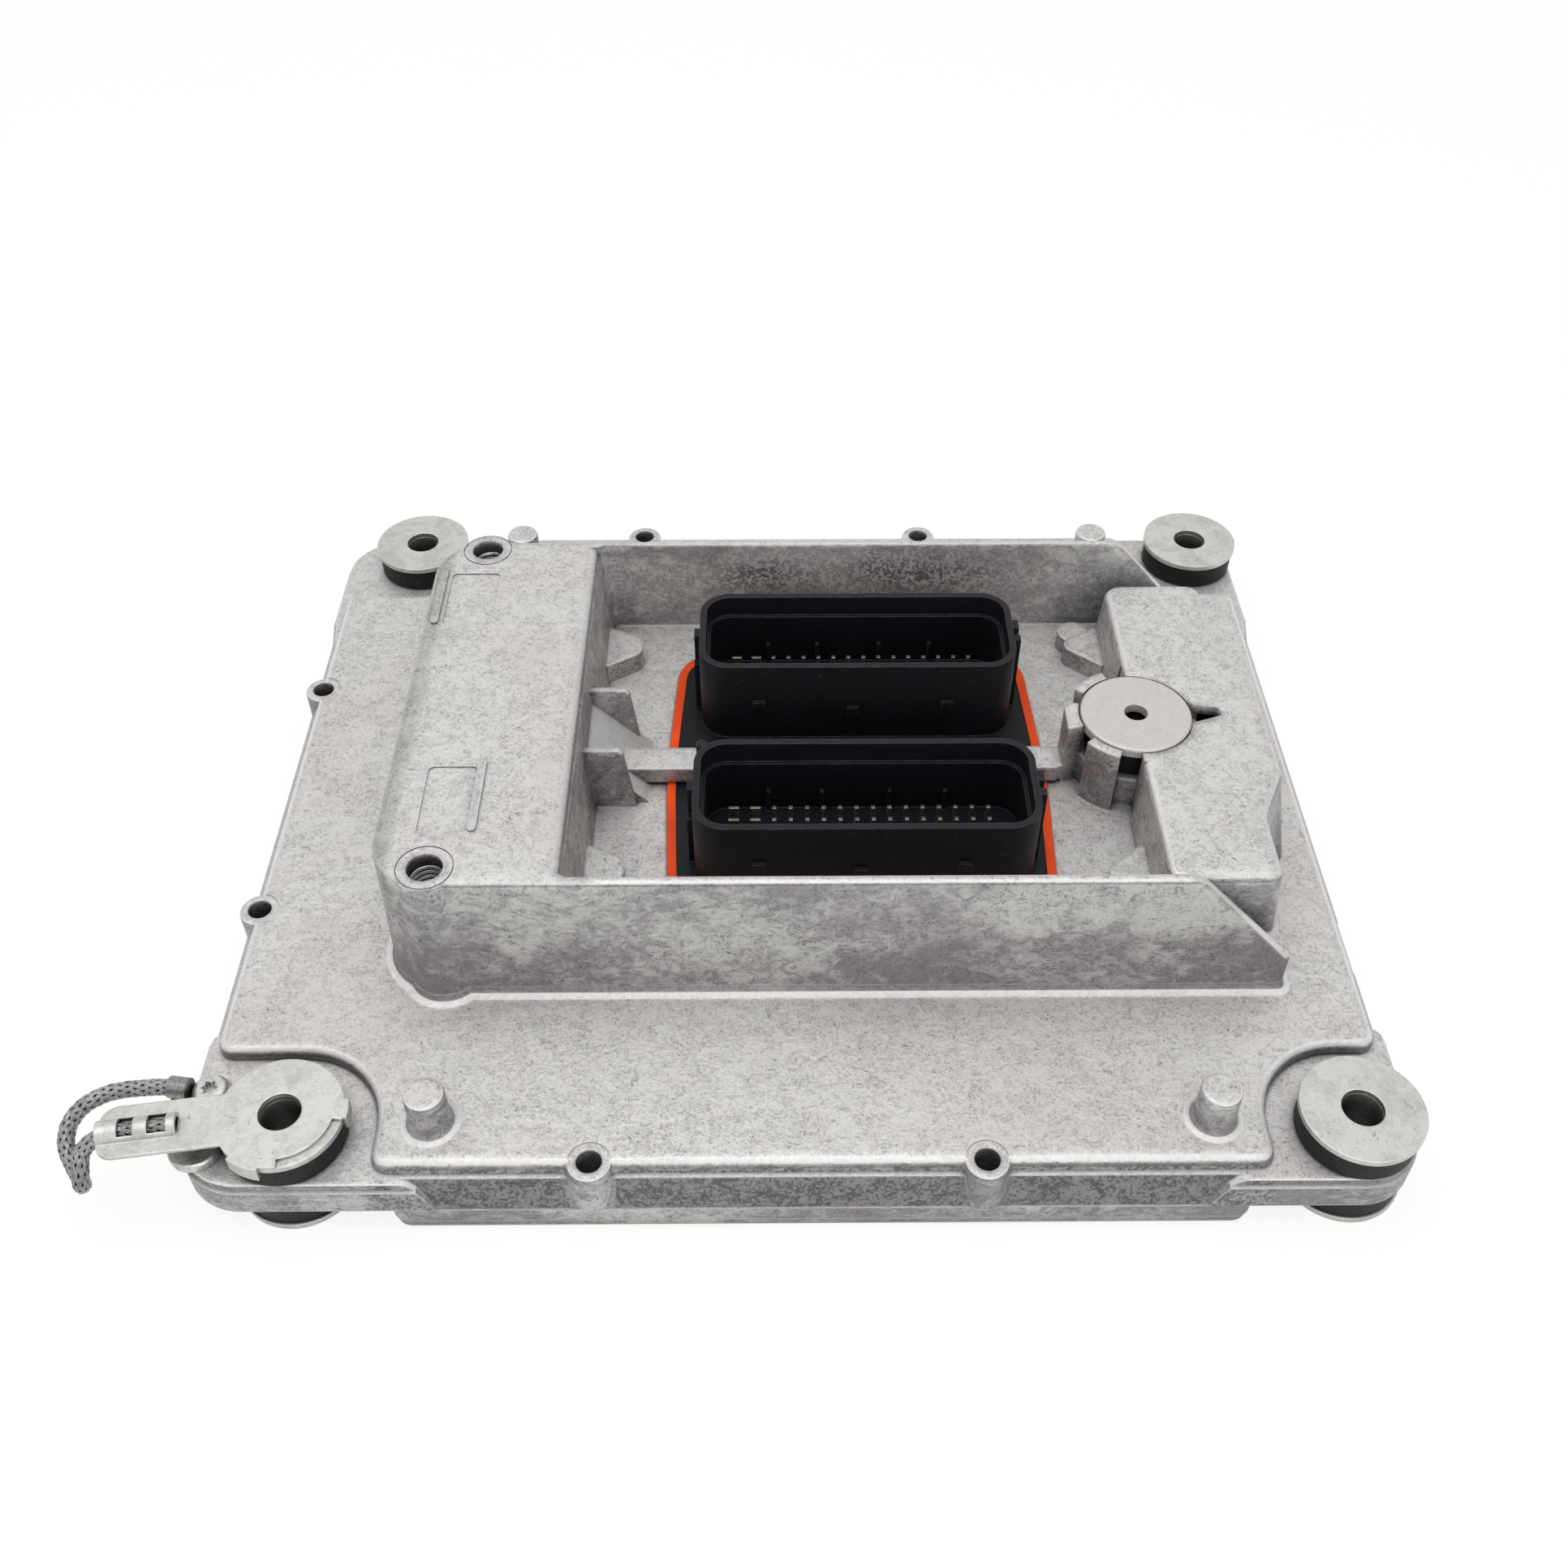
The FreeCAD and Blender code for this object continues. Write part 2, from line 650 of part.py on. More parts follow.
def socket():
    """Return the castellated socket that the vent sits in, and the fin that ties it to the bar."""
    column = disc(VENT_X, VENT_Y, RING_RADIUS, FLOOR_TOP - 1.0, BLOCK_TOP)
    fin = box(
        VENT_X - RING_RADIUS - 0.7, VENT_X - SOCKET_RADIUS + 2.0,
        MIDDLE_Y - 4.3, MIDDLE_Y + 4.5, FLOOR_TOP - 1.0, BLOCK_TOP)
    return [column, fin]


def socket_cuts():
    """Return what is cut from the socket: its bore, the gaps between its fingers and the groove."""
    bore = disc(VENT_X, VENT_Y, SOCKET_RADIUS, SOCKET_FLOOR, TOWER_TOP)
    port = disc(VENT_X, VENT_Y, 4.0, FLOOR_UNDER - 5.0, SOCKET_FLOOR + 1)
    reach = RING_RADIUS + 3.0
    gaps = []
    for start, stop in ((91.0, 112.0), (146.0, 164.0), (197.0, 217.0), (248.0, 268.0)):
        gaps.append(sector(VENT_X, VENT_Y, reach, start, stop, SOCKET_FLOOR, TOWER_TOP))
    inside = disc(VENT_X, VENT_Y, SOCKET_RADIUS - 0.4, FLOOR_TOP - 1.0, TOWER_TOP)
    for start, stop in ((197.0, 217.0), (248.0, 268.0)):
        gaps.append(sector(VENT_X, VENT_Y, reach, start, stop, FLOOR_TOP, SOCKET_FLOOR + 1).cut(inside))
    groove = prism(
        [
            (VENT_X + 11.0, VENT_Y + 6.5, 0), (VENT_X + 11.0, VENT_Y - 5.0, 0),
            (VENT_X + 14.6, VENT_Y - 3.2, 2.0), (VENT_X + 22.0, VENT_Y - 0.6, 0.8),
            (VENT_X + 21.5, VENT_Y + 2.4, 0.8), (VENT_X + 15.2, VENT_Y + 3.6, 2.0),
        ],
        BLOCK_TOP - 5.0, TOWER_TOP)
    return [bore, port, groove] + gaps


def label_frames():
    """Return the shallow recesses for the bare label places on the tower."""
    deep = TOWER_TOP - 0.4
    return [
        prism(rounded_box(-97.5, -84.5, 23.0, 45.0, 1.5), deep, TOWER_TOP + 1),
        prism(rounded_box(-93.0, -81.2, -52.0, -30.0, 1.5), deep, TOWER_TOP + 1),
    ]


def housing():
    """Return the die-cast housing."""
    rim = prism(body_outline(0, 0, RIM_POCKET), RIM_BOTTOM, RIM_TOP)
    mid_pocket = DECK_POCKET + 0.8
    wall = taper(
        body_outline(0.8, 0.3, RIM_POCKET - 0.4), RIM_TOP,
        body_outline(SIDE_LEAN - 0.3 - DECK_LEDGE, END_LEAN - 0.1 - DECK_LEDGE, mid_pocket + 0.4), EAR_TOP)
    deck = taper(
        body_outline(SIDE_LEAN - 0.3, END_LEAN - 0.1, mid_pocket), EAR_TOP,
        body_outline(SIDE_LEAN, END_LEAN, DECK_POCKET), DECK_TOP)
    deck = deck.makeFillet(DECK_ROUND, edges_at(deck, DECK_TOP))
    pieces = [rim, wall, deck, tower(), block()]
    pieces += ears()
    for x, y in OPEN_SCREWS:
        boss = disc(x, y, COVER_BOSS, RIM_TOP - 0.4, BOSS_TOP)
        pieces.append(boss.makeFillet(0.7, edges_at(boss, BOSS_TOP)))
    for x in (-PEG_X, PEG_X):
        for y in (-PEG_FRONT, PEG_BACK):
            peg = Part.makeCone(PEG_RADIUS + 0.4, PEG_RADIUS, PEG_HEIGHT, vec(x, y, DECK_TOP))
            peg = peg.makeFillet(0.8, edges_at(peg, DECK_TOP + PEG_HEIGHT))
            pieces.append(peg)
            flare = PEG_RADIUS + 0.4 + PEG_FLARE
            pieces.append(Part.makeCone(flare, flare - PEG_FLARE * 0.7, PEG_FLARE * 0.3, vec(x, y, DECK_TOP)))
            pieces.append(Part.makeCone(
                flare - PEG_FLARE * 0.7, PEG_RADIUS + 0.3, PEG_FLARE * 0.7, vec(x, y, DECK_TOP + PEG_FLARE * 0.3)))
    pieces += gussets()
    pieces += socket()
    for x, y0, y1 in ((-99.6, 23.3, 47.2), (-80.2, -51.6, -28.6)):
        pieces.append(prism(rounded_box(x - 1.0, x + 1.0, y0, y1, 0.9), TOWER_TOP - 1, TOWER_TOP + 0.7))
    shape = joined(pieces)
    tools = [cavity()]
    tools += socket_cuts()
    tools += label_frames()
    bar = box(
        -OPENING_LEFT - 1, OPENING_RIGHT + 1,
        MIDDLE_Y - BAR_WIDTH / 2 - 0.5, MIDDLE_Y + BAR_WIDTH / 2 - 0.5, BAR_TOP - BAR_THICK, BAR_TOP)
    tools.append(prism(opening_outline(0), FLOOR_UNDER - 1, TOWER_TOP).cut(bar))
    for x, y in CORNERS.values():
        tools.append(disc(x, y, NECK_RADIUS, 0, STACK_HEIGHT))
    for x, y in OPEN_SCREWS:
        tools.append(disc(x, y, COVER_SCREW, 0, BOSS_TOP))
        tools.append(disc(x, y, CORED_HOLE, RIM_BOTTOM + TAP_DEPTH, BOSS_TOP + 1))
        tools.append(disc(x, y, COVER_BOSS - 0.2, BOSS_TOP, DECK_TOP + 1))
    for x, y in BLIND_SCREWS:
        tools.append(disc(x, y, COVER_SCREW, 0, RIM_BOTTOM + TAP_DEPTH))
    for x, y in BOARD_SCREWS:
        tools.append(disc(x, y, BOARD_SCREW, 0, DECK_UNDER - 1.0))
    for x, y in HEADER_SCREWS:
        tools.append(disc(x, y, HEADER_SCREW, FLOOR_UNDER - 1, FLOOR_TOP + PAD_HEIGHT - 1.5))
    for x, y in STUDS:
        tools.append(disc(x, y, STUD_HOLE, TOWER_TOP - STUD_DEPTH, TOWER_TOP + 1))
        tools.append(ring(x, y, STUD_BOSS + 0.1, STUD_BOSS - 0.3, TOWER_TOP - 0.3, TOWER_TOP + 1))
    tools.append(disc(LUG_X, LUG_Y, GROUND_SCREW, EAR_TOP - 7.0, STACK_HEIGHT))
    tools.append(disc(CORNER_X, CORNER_Y, CORNER_SCREW, EAR_TOP - 7.0, STACK_HEIGHT))
    tools += rim_reliefs()
    return cut_all(shape, tools)


def rim_reliefs():
    """Return the two short steps in the rim."""
    return [
        box(-REACH_LEFT - 5, -REACH_LEFT + 2.8, 48.5, 61.0, -1, RIM_TOP + 0.01),
        box(REACH_RIGHT - 2.6, REACH_RIGHT + 5, -54.0, -37.0, -1, RIM_TOP + 0.01),
    ]


def countersunk(x, y, low, high):
    """Return a countersunk screw with its head flush at the bottom."""
    head = Part.makeCone(COVER_HEAD, COVER_SCREW, COVER_HEAD - COVER_SCREW, vec(x, y, low))
    shank = disc(x, y, COVER_SCREW, low, high)
    drive = disc(x, y, 1.1, low, low + 1.0)
    return head.fuse(shank).removeSplitter().cut(drive)


def bottom_cover():
    """Return the pressed cover plate."""
    shape = prism(body_outline(0.4, 0.4, RIM_POCKET + 0.4), COVER_BOTTOM, COVER_TOP)
    tools = rim_reliefs()
    for x, y in OPEN_SCREWS + BLIND_SCREWS:
        tools.append(disc(x, y, COVER_SCREW, COVER_BOTTOM - 1, COVER_TOP + 1))
        tools.append(Part.makeCone(
            COVER_HEAD, COVER_SCREW, COVER_HEAD - COVER_SCREW, vec(x, y, COVER_BOTTOM)))
    return cut_all(shape, tools)


def cover_gasket():
    """Return the flat gasket between the rim and the cover."""
    shape = prism(body_outline(0.8, 0.8, RIM_POCKET + 0.6), COVER_TOP, RIM_BOTTOM)
    tools = rim_reliefs()
    tools.append(cavity())
    for x, y in OPEN_SCREWS + BLIND_SCREWS:
        tools.append(disc(x, y, COVER_SCREW, 0, RIM_BOTTOM + 1))
    return cut_all(shape, tools)


def cover_screws():
    """Return the countersunk cover screws."""
    high = RIM_BOTTOM + TAP_DEPTH - 1.0
    return group([countersunk(x, y, COVER_BOTTOM, high) for x, y in OPEN_SCREWS + BLIND_SCREWS])


def pin_places(centre_y):
    """Return the places of the small pins and of the blades of one connector."""
    pins = []
    blades = []
    for row in range(PIN_ROWS):
        y = centre_y + 0.3 + (row - (PIN_ROWS - 1) / 2) * PIN_PITCH
        for column in range(PIN_COUNT):
            if row == 0 and column in (0, PIN_COUNT - 1):
                continue
            pins.append((SHROUD_X + PIN_START + column * PIN_PITCH, y))
        for column in range(2):
            blades.append((SHROUD_X + BLADE_START + column * BLADE_PITCH, y))
    return pins, blades


def pin_solids(places, length, width, low, high):
    """Return upright rectangular pins."""
    return [box(x - length / 2, x + length / 2, y - width / 2, y + width / 2, low, high) for x, y in places]


def shroud_outline(centre_y, inset):
    """Return one connector shroud's outline, inset all round."""
    return rounded_box(
        SHROUD_X - SHROUD_LENGTH / 2 + inset, SHROUD_X + SHROUD_LENGTH / 2 - inset,
        centre_y - SHROUD_WIDTH / 2 + inset, centre_y + SHROUD_WIDTH / 2 - inset, SHROUD_ROUND - inset)


def shroud(centre_y):
    """Return one connector shroud with its rails, nubs and keys."""
    pieces = [prism(shroud_outline(centre_y, 0), BASE_TOP - 1, SHROUD_TOP)]
    left = SHROUD_X - SHROUD_LENGTH / 2
    right = SHROUD_X + SHROUD_LENGTH / 2
    front = centre_y - SHROUD_WIDTH / 2
    high = SHROUD_TOP - 1.5
    pieces.append(box(left - 1.7, left + 1, centre_y - 3.0, centre_y - 0.8, BASE_TOP - 1, high - 8))
    pieces.append(box(left - 1.5, left + 1, centre_y - 0.8, centre_y + 2.4, BASE_TOP - 1, high))
    pieces.append(box(right - 1, right + 1.9, centre_y - 3.0, centre_y - 0.6, BASE_TOP - 1, high))
    pieces.append(box(right - 1, right + 1.9, centre_y + 2.0, centre_y + 5.4, high - 6, high))
    for x, z in ((-14.3, 42.0), (10.3, 40.0), (35.0, 42.0)):
        pieces.append(box(x - 1.5, x + 1.5, front - 0.9, front + 0.5, z, z + 2.4))
    return joined(pieces)


def shroud_space(centre_y):
    """Return the space inside one shroud, less its keys."""
    upper = prism(shroud_outline(centre_y, SHROUD_WALL), SHROUD_TOP - SHROUD_STEP, SHROUD_TOP + 1)
    lower = prism(shroud_outline(centre_y, SHROUD_WALL + STEP_DEPTH), SHROUD_FLOOR, SHROUD_TOP)
    space = upper.fuse(lower)
    back = centre_y + SHROUD_WIDTH / 2
    keys = []
    for x in (-12.0, 1.5, 18.5, 32.5):
        keys.append(box(x - 0.4, x + 0.4, back - SHROUD_WALL - STEP_DEPTH - 1.0, back, SHROUD_FLOOR, PIN_TIP))
    return cut_all(space, keys)


def connector_header():
    """Return the moulded header with both shrouds and the flange under the housing's floor."""
    flange = prism(
        rounded_box(
            -OPENING_LEFT - 17.5, BLOCK_LEFT - 1.0,
            MIDDLE_Y - OPENING_HALF - 1.0, MIDDLE_Y + OPENING_HALF + 4.5, FLANGE_MARGIN),
        FLOOR_UNDER - FLANGE_THICK, FLOOR_UNDER)
    base = prism(opening_outline(SEAL_WIDTH), FLOOR_UNDER - 1.0, BASE_TOP)
    pieces = [flange, base]
    tools = []
    for centre_y in (FRONT_SHROUD, REAR_SHROUD):
        pieces.append(shroud(centre_y))
        tools.append(shroud_space(centre_y))
        pins, blades = pin_places(centre_y)
        low = FLOOR_UNDER - FLANGE_THICK - 1
        tools += pin_solids(pins, PIN_SIZE, PIN_SIZE, low, PIN_TIP)
        tools += pin_solids(blades, BLADE_WIDTH, BLADE_THICK, low, PIN_TIP)
    pieces.append(disc(
        SHROUD_X - SHROUD_LENGTH / 2 + 1.6, FRONT_SHROUD + SHROUD_WIDTH / 2 - 0.6, 1.3, BASE_TOP - 1,
        SHROUD_TOP - 0.8))
    for x, y in HEADER_SCREWS:
        tools.append(disc(x, y, HEADER_SCREW + SCREW_GAP, 0, FLOOR_TOP))
    return cut_all(joined(pieces), tools)


def header_gasket():
    """Return the soft seal that fills the gap round the header."""
    high = FLOOR_TOP + SEAL_PROUD
    outer = prism(opening_outline(0), FLOOR_UNDER, high)
    return outer.cut(prism(opening_outline(SEAL_WIDTH), FLOOR_UNDER - 1, high + 1))


def pan_screw(x, y, shank, head, head_low, head_high, tip):
    """Return a screw that enters upward, with its head below."""
    body = disc(x, y, head, head_low, head_high)
    body = body.makeFillet(0.6, edges_at(body, head_low))
    thread = disc(x, y, shank, head_low + 0.5, tip)
    drive = disc(x, y, head * 0.4, head_low - 1, head_low + 0.9)
    return body.fuse(thread).removeSplitter().cut(drive)


def header_screws():
    """Return the screws that hold the header up against the floor."""
    low = FLOOR_UNDER - FLANGE_THICK
    tip = FLOOR_TOP + PAD_HEIGHT - 2.0
    return group([pan_screw(x, y, HEADER_SCREW, HEADER_HEAD, low - 2.4, low, tip) for x, y in HEADER_SCREWS])


def board_screws():
    """Return the screws that hold the board to its posts."""
    shapes = []
    for x, y in BOARD_SCREWS:
        shapes.append(pan_screw(
            x, y, BOARD_SCREW, BOARD_HEAD, BOARD_BOTTOM - 2.0, BOARD_BOTTOM, DECK_UNDER - 2.0))
    return group(shapes)


def vent_cap():
    """Return the round metal cap of the vent."""
    shape = disc(VENT_X, VENT_Y, VENT_RADIUS, VENT_TOP - VENT_CAP, VENT_TOP)
    shape = shape.makeFillet(0.8, edges_at(shape, VENT_TOP))
    return shape.cut(disc(VENT_X, VENT_Y, VENT_HOLE, VENT_TOP - VENT_CAP - 1, VENT_TOP + 1))


def vent_body():
    """Return the cup below the cap, which carries the membrane."""
    high = VENT_TOP - VENT_CAP
    shape = disc(VENT_X, VENT_Y, VENT_BODY, SOCKET_FLOOR, high)
    tools = [
        disc(VENT_X, VENT_Y, VENT_BODY - 1.5, high - 3.0, high + 1),
        disc(VENT_X, VENT_Y, 4.0, SOCKET_FLOOR - 1, high),
    ]
    return cut_all(shape, tools)


def vent_membrane():
    """Return the thin breathing membrane."""
    low = VENT_TOP - VENT_CAP - 3.0
    return disc(VENT_X, VENT_Y, VENT_BODY - 1.5, low, low + 0.5)


def isolator(x, y):
    """Return the rubber bobbin that holds one ear."""
    lower = disc(x, y, RUBBER_RADIUS, RUBBER_BOTTOM, EAR_BOTTOM)
    neck = disc(x, y, NECK_RADIUS, EAR_BOTTOM - 1, EAR_TOP + 1)
    upper = disc(x, y, RUBBER_RADIUS, EAR_TOP, RUBBER_TOP)
    upper = upper.makeFillet(0.8, edges_at(upper, EAR_TOP))
    shape = joined([lower, neck, upper])
    return shape.cut(disc(x, y, SLEEVE_RADIUS, 0, STACK_HEIGHT))


def washer(x, y, low):
    """Return one plain washer."""
    return ring(x, y, WASHER_RADIUS, WASHER_HOLE, low, low + WASHER_THICK)


def strap_place(u, v, z=0.0):
    """Return the place u along and v across the terminal's tongue."""
    x, y = CORNERS["front_left"]
    angle = math.radians(TONGUE_ANGLE)
    return vec(
        x + u * math.cos(angle) - v * math.sin(angle),
        y + u * math.sin(angle) + v * math.cos(angle), z)


def ground_terminal():
    """Return the ring terminal: a plate on the washer, bent claws and a crimped tongue."""
    x, y = CORNERS["front_left"]
    low = STACK_HEIGHT
    high = low + PLATE_THICK
    half = TONGUE_WIDTH / 2
    plate = disc(x, y, WASHER_RADIUS + 0.1, low, high)
    ragged = sector(x, y, WASHER_RADIUS + 2, -82.0, -8.0, low - 1, high + 1)
    ragged = ragged.cut(disc(x, y, WASHER_RADIUS - 2.0, low - 2, high + 2))
    tongue_points = []
    for u, v, r in ((9.0, -half, 0), (9.0, half, 0), (TONGUE_LENGTH, half, 4.0), (TONGUE_LENGTH, -half, 4.0)):
        place = strap_place(u, v)
        tongue_points.append((place.x, place.y, r))
    tongue = prism(tongue_points[::-1], low, high)
    axis_height = low + PLATE_THICK / 2
    start = strap_place(BARREL_START, 0, axis_height)
    stop = strap_place(TONGUE_LENGTH, 0, axis_height)
    line = stop - start
    barrel = Part.makeCylinder(BARREL_RADIUS, line.Length, start, line)
    bore = Part.makeCylinder(BRAID_RADIUS, line.Length + 5, start, line)
    claws = []
    for first, last in ((232.0, 262.0), (-6.0, 14.0)):
        claw = ring(x, y, WASHER_RADIUS + 1.0, WASHER_RADIUS + 0.1, high - CLAW_DROP, high)
        claw = claw.common(sector(x, y, WASHER_RADIUS + 4, first, last, high - CLAW_DROP - 1, high + 1))
        bridge = ring(x, y, WASHER_RADIUS + 1.0, WASHER_RADIUS - 3.0, low, high)
        bridge = bridge.common(sector(x, y, WASHER_RADIUS + 4, first, last, low - 1, high + 1))
        claws += [claw, bridge]
    windows = []
    for u, long in ((25.9, 4.0), (32.6, 3.4)):
        place = strap_place(u, 0, axis_height + 0.5)
        window = Part.makeBox(long, 4.8, 4.0, vec(-long / 2, -2.4, 0))
        window.rotate(vec(0, 0, 0), vec(0, 0, 1), TONGUE_ANGLE)
        window.translate(place)
        windows.append(window)
    shape = joined([plate.cut(ragged), tongue, barrel] + claws)
    return cut_all(shape, [bore, disc(x, y, WASHER_HOLE, low - 1, high + 1)] + windows)


def braid_corners():
    """Return the corners of the braid's centre line, from inside the crimp round to the lug."""
    height = STACK_HEIGHT + PLATE_THICK / 2
    ear = EAR_TOP
    return [
        strap_place(TONGUE_LENGTH - 5.5, 0, height),
        strap_place(TONGUE_LENGTH + 3.3, 0, height),
        vec(LUG_X - 21.8, LUG_Y - 24.8, ear + 4.3),
        vec(LUG_X - 23.6, LUG_Y - 21.9, ear - 3.1),
        vec(LUG_X - 31.2, LUG_Y - 11.5, ear + 1.4),
        vec(LUG_X - 25.4, LUG_Y - 3.0, ear + 5.2),
        vec(LUG_X - 12.0, LUG_Y + 1.2, ear + 2.6),
        vec(LUG_X - 5.1, LUG_Y - 0.1, ear + 3.0),
    ]


def braid_path():
    """Return the braid's centre line: straight runs joined by tangent arcs."""
    points = braid_corners()
    edges = []
    cursor = points[0]
    for i in range(1, len(points) - 1):
        before = points[i - 1] - points[i]
        after = points[i + 1] - points[i]
        run = min(before.Length, after.Length) * 0.45
        before.normalize()
        after.normalize()
        turn = math.pi - before.getAngle(after)
        radius = run / math.tan(turn / 2)
        axis = before + after
        axis.normalize()
        first = points[i] + before * run
        last = points[i] + after * run
        middle = points[i] + axis * (radius / math.cos(turn / 2) - radius)
        edges.append(Part.LineSegment(cursor, first).toShape())
        edges.append(Part.Arc(first, middle, last).toShape())
        print("braid corner", i, [round(c, 3) for c in points[i]], "bend radius", round(radius, 2))
        cursor = last
    edges.append(Part.LineSegment(cursor, points[-1]).toShape())
    return Part.Wire(edges)


def ground_braid():
    """Return the tinned braid as a plain tube, with its end that lies in the crimp."""
    path = braid_path()
    corners = braid_corners()
    first = corners[0]
    heading = corners[1] - first
    circle = Part.Wire(Part.Circle(first, heading, BRAID_RADIUS).toShape())
    tube = path.makePipeShell([circle], True, False)
    start = strap_place(BARREL_START + 1.0, 0, first.z)
    crimped = Part.makeCylinder(BRAID_RADIUS, (first - start).Length, start, heading)
    return tube.fuse(crimped).removeSplitter()


def ground_lug():
    """Return the small lug at the braid's far end."""
    corners = braid_corners()
    end = corners[-1]
    line = end - corners[-2]
    line.normalize()
    start = end - line * 4.0
    plate = disc(LUG_X, LUG_Y, LUG_RADIUS, EAR_TOP, EAR_TOP + PLATE_THICK)
    wide = BRAID_RADIUS + 0.6
    tongue = box(
        start.x, LUG_X, LUG_Y - wide, LUG_Y + wide, EAR_TOP, EAR_TOP + PLATE_THICK)
    barrel = Part.makeCylinder(wide, 4.6, start, line)
    bore = Part.makeCylinder(BRAID_RADIUS, 4.0, start, line)
    shape = joined([plate, tongue, barrel])
    return cut_all(shape, [bore, disc(LUG_X, LUG_Y, GROUND_SCREW, EAR_TOP - 1, STACK_HEIGHT)])


def top_screw(x, y, shank, head, low, high, recess):
    """Return a screw that enters downward, with a rounded head on top."""
    body = disc(x, y, head, low, high)
    body = body.makeFillet(0.7, edges_at(body, high))
    thread = disc(x, y, shank, EAR_TOP - 6.0, high - 1.0)
    return body.fuse(thread).removeSplitter().cut(recess)


def ground_screw():
    """Return the screw through the lug, with a six-sided recess."""
    low = EAR_TOP + PLATE_THICK
    high = low + GROUND_HEAD_HEIGHT
    points = []
    for i in range(6):
        angle = math.radians(60 * i)
        points.append((LUG_X + 2.0 * math.cos(angle), LUG_Y + 2.0 * math.sin(angle), 0))
    recess = prism(points, high - 1.5, high + 1)
    return top_screw(LUG_X, LUG_Y, GROUND_SCREW, GROUND_HEAD, low, high, recess)


def corner_screw():
    """Return the flat-headed screw at the ear's corner."""
    high = EAR_TOP + CORNER_HEAD_HEIGHT
    recess = disc(CORNER_X, CORNER_Y, 1.8, high - 1.5, high + 1)
    return top_screw(CORNER_X, CORNER_Y, CORNER_SCREW, CORNER_HEAD, EAR_TOP, high, recess)


def circuit_board():
    """Return the bare circuit board."""
    side = SIDE_LEAN + SKIN + BOARD_GAP
    end = END_LEAN + SKIN + BOARD_GAP
    shape = prism(body_outline(side, end, RIM_POCKET + SKIN + BOARD_GAP), BOARD_BOTTOM, BOARD_TOP)
    return cut_all(shape, [disc(x, y, BOARD_SCREW + SCREW_GAP, 0, BOARD_TOP + 1) for x, y in BOARD_SCREWS])


def chip(x, y, length, width, height):
    """Return a flat component on the board."""
    return box(x - length / 2, x + length / 2, y - width / 2, y + width / 2, BOARD_TOP, BOARD_TOP + height)


def transistor_places():
    """Return the places of the power transistors, along the front and back."""
    places = []
    for y in (-88.0, 88.0):
        for i in range(6):
            places.append((-45.0 + i * 18.0, y))
    return places


def power_transistors():
    """Return the power transistors."""
    return group([chip(x, y, TRANSISTOR, TRANSISTOR, TRANSISTOR_HEIGHT) for x, y in transistor_places()])


def thermal_pads():
    """Return the soft pads between the transistors and the deck."""
    low = BOARD_TOP + TRANSISTOR_HEIGHT
    shapes = []
    for x, y in transistor_places():
        half = TRANSISTOR / 2
        shapes.append(box(x - half, x + half, y - half, y + half, low, DECK_UNDER))
    return group(shapes)


def capacitors():
    """Return the storage capacitors that stand in the tower's left block."""
    shapes = []
    middle = -(TOWER_LEFT + POCKET_LEFT) / 2
    for i in range(3):
        shape = disc(middle, -44.0 + i * 21.0, CAPACITOR_RADIUS, BOARD_TOP, BOARD_TOP + CAPACITOR_HEIGHT)
        shapes.append(shape.makeFillet(1.2, edges_at(shape, BOARD_TOP + CAPACITOR_HEIGHT)))
    return group(shapes)


def choke():
    """Return the wound choke beside the capacitors."""
    middle = -(TOWER_LEFT + POCKET_LEFT) / 2
    return ring(middle, 26.0, CHOKE_RADIUS, 4.0, BOARD_TOP, BOARD_TOP + CHOKE_HEIGHT)


def pressure_sensor():
    """Return the air pressure sensor below the vent."""
    base = chip(VENT_X + 6.0, VENT_Y, 16.0, 14.0, 6.0)
    return base.fuse(disc(VENT_X + 6.0, VENT_Y, 3.0, BOARD_TOP + 5.0, BOARD_TOP + 11.0)).removeSplitter()


def build():
    """Return every named piece."""
    parts = {
        "housing": housing(),
        "bottom_cover": bottom_cover(),
        "cover_gasket": cover_gasket(),
        "cover_screws": cover_screws(),
        "connector_header": connector_header(),
        "header_gasket": header_gasket(),
        "header_screws": header_screws(),
        "vent_cap": vent_cap(),
        "vent_body": vent_body(),
        "vent_membrane": vent_membrane(),
        "ground_terminal": ground_terminal(),
        "ground_braid": ground_braid(),
        "ground_lug": ground_lug(),
        "ground_screw": ground_screw(),
        "corner_screw": corner_screw(),
        "circuit_board": circuit_board(),
        "board_screws": board_screws(),
        "processor": chip(-20.0, -6.0, 27.0, 27.0, 2.4),
        "flash_memory": chip(12.0, -6.0, 14.0, 20.0, 1.4),
        "driver_chips": group([chip(x, y, 14.0, 14.0, 2.0) for x in (-70.0, 70.0) for y in (-80.0, 80.0)]),
        "power_transistors": power_transistors(),
        "thermal_pads": thermal_pads(),
        "storage_capacitors": capacitors(),
        "choke": choke(),
        "crystal": chip(-44.0, -6.0, 5.0, 11.0, 4.0),
        "pressure_sensor": pressure_sensor(),
    }
    for name, centre_y in (("front", FRONT_SHROUD), ("rear", REAR_SHROUD)):
        pins, blades = pin_places(centre_y)
        parts[name + "_pins"] = group(pin_solids(pins, PIN_SIZE, PIN_SIZE, BOARD_TOP, PIN_TIP))
        parts[name + "_blades"] = group(pin_solids(blades, BLADE_WIDTH, BLADE_THICK, BOARD_TOP, PIN_TIP))
    for name, (x, y) in CORNERS.items():
        parts["isolator_" + name] = isolator(x, y)
        parts["sleeve_" + name] = ring(x, y, SLEEVE_RADIUS, WASHER_HOLE, RUBBER_BOTTOM, RUBBER_TOP)
        parts["upper_washer_" + name] = washer(x, y, RUBBER_TOP)
        parts["lower_washer_" + name] = washer(x, y, 0.0)
    return parts


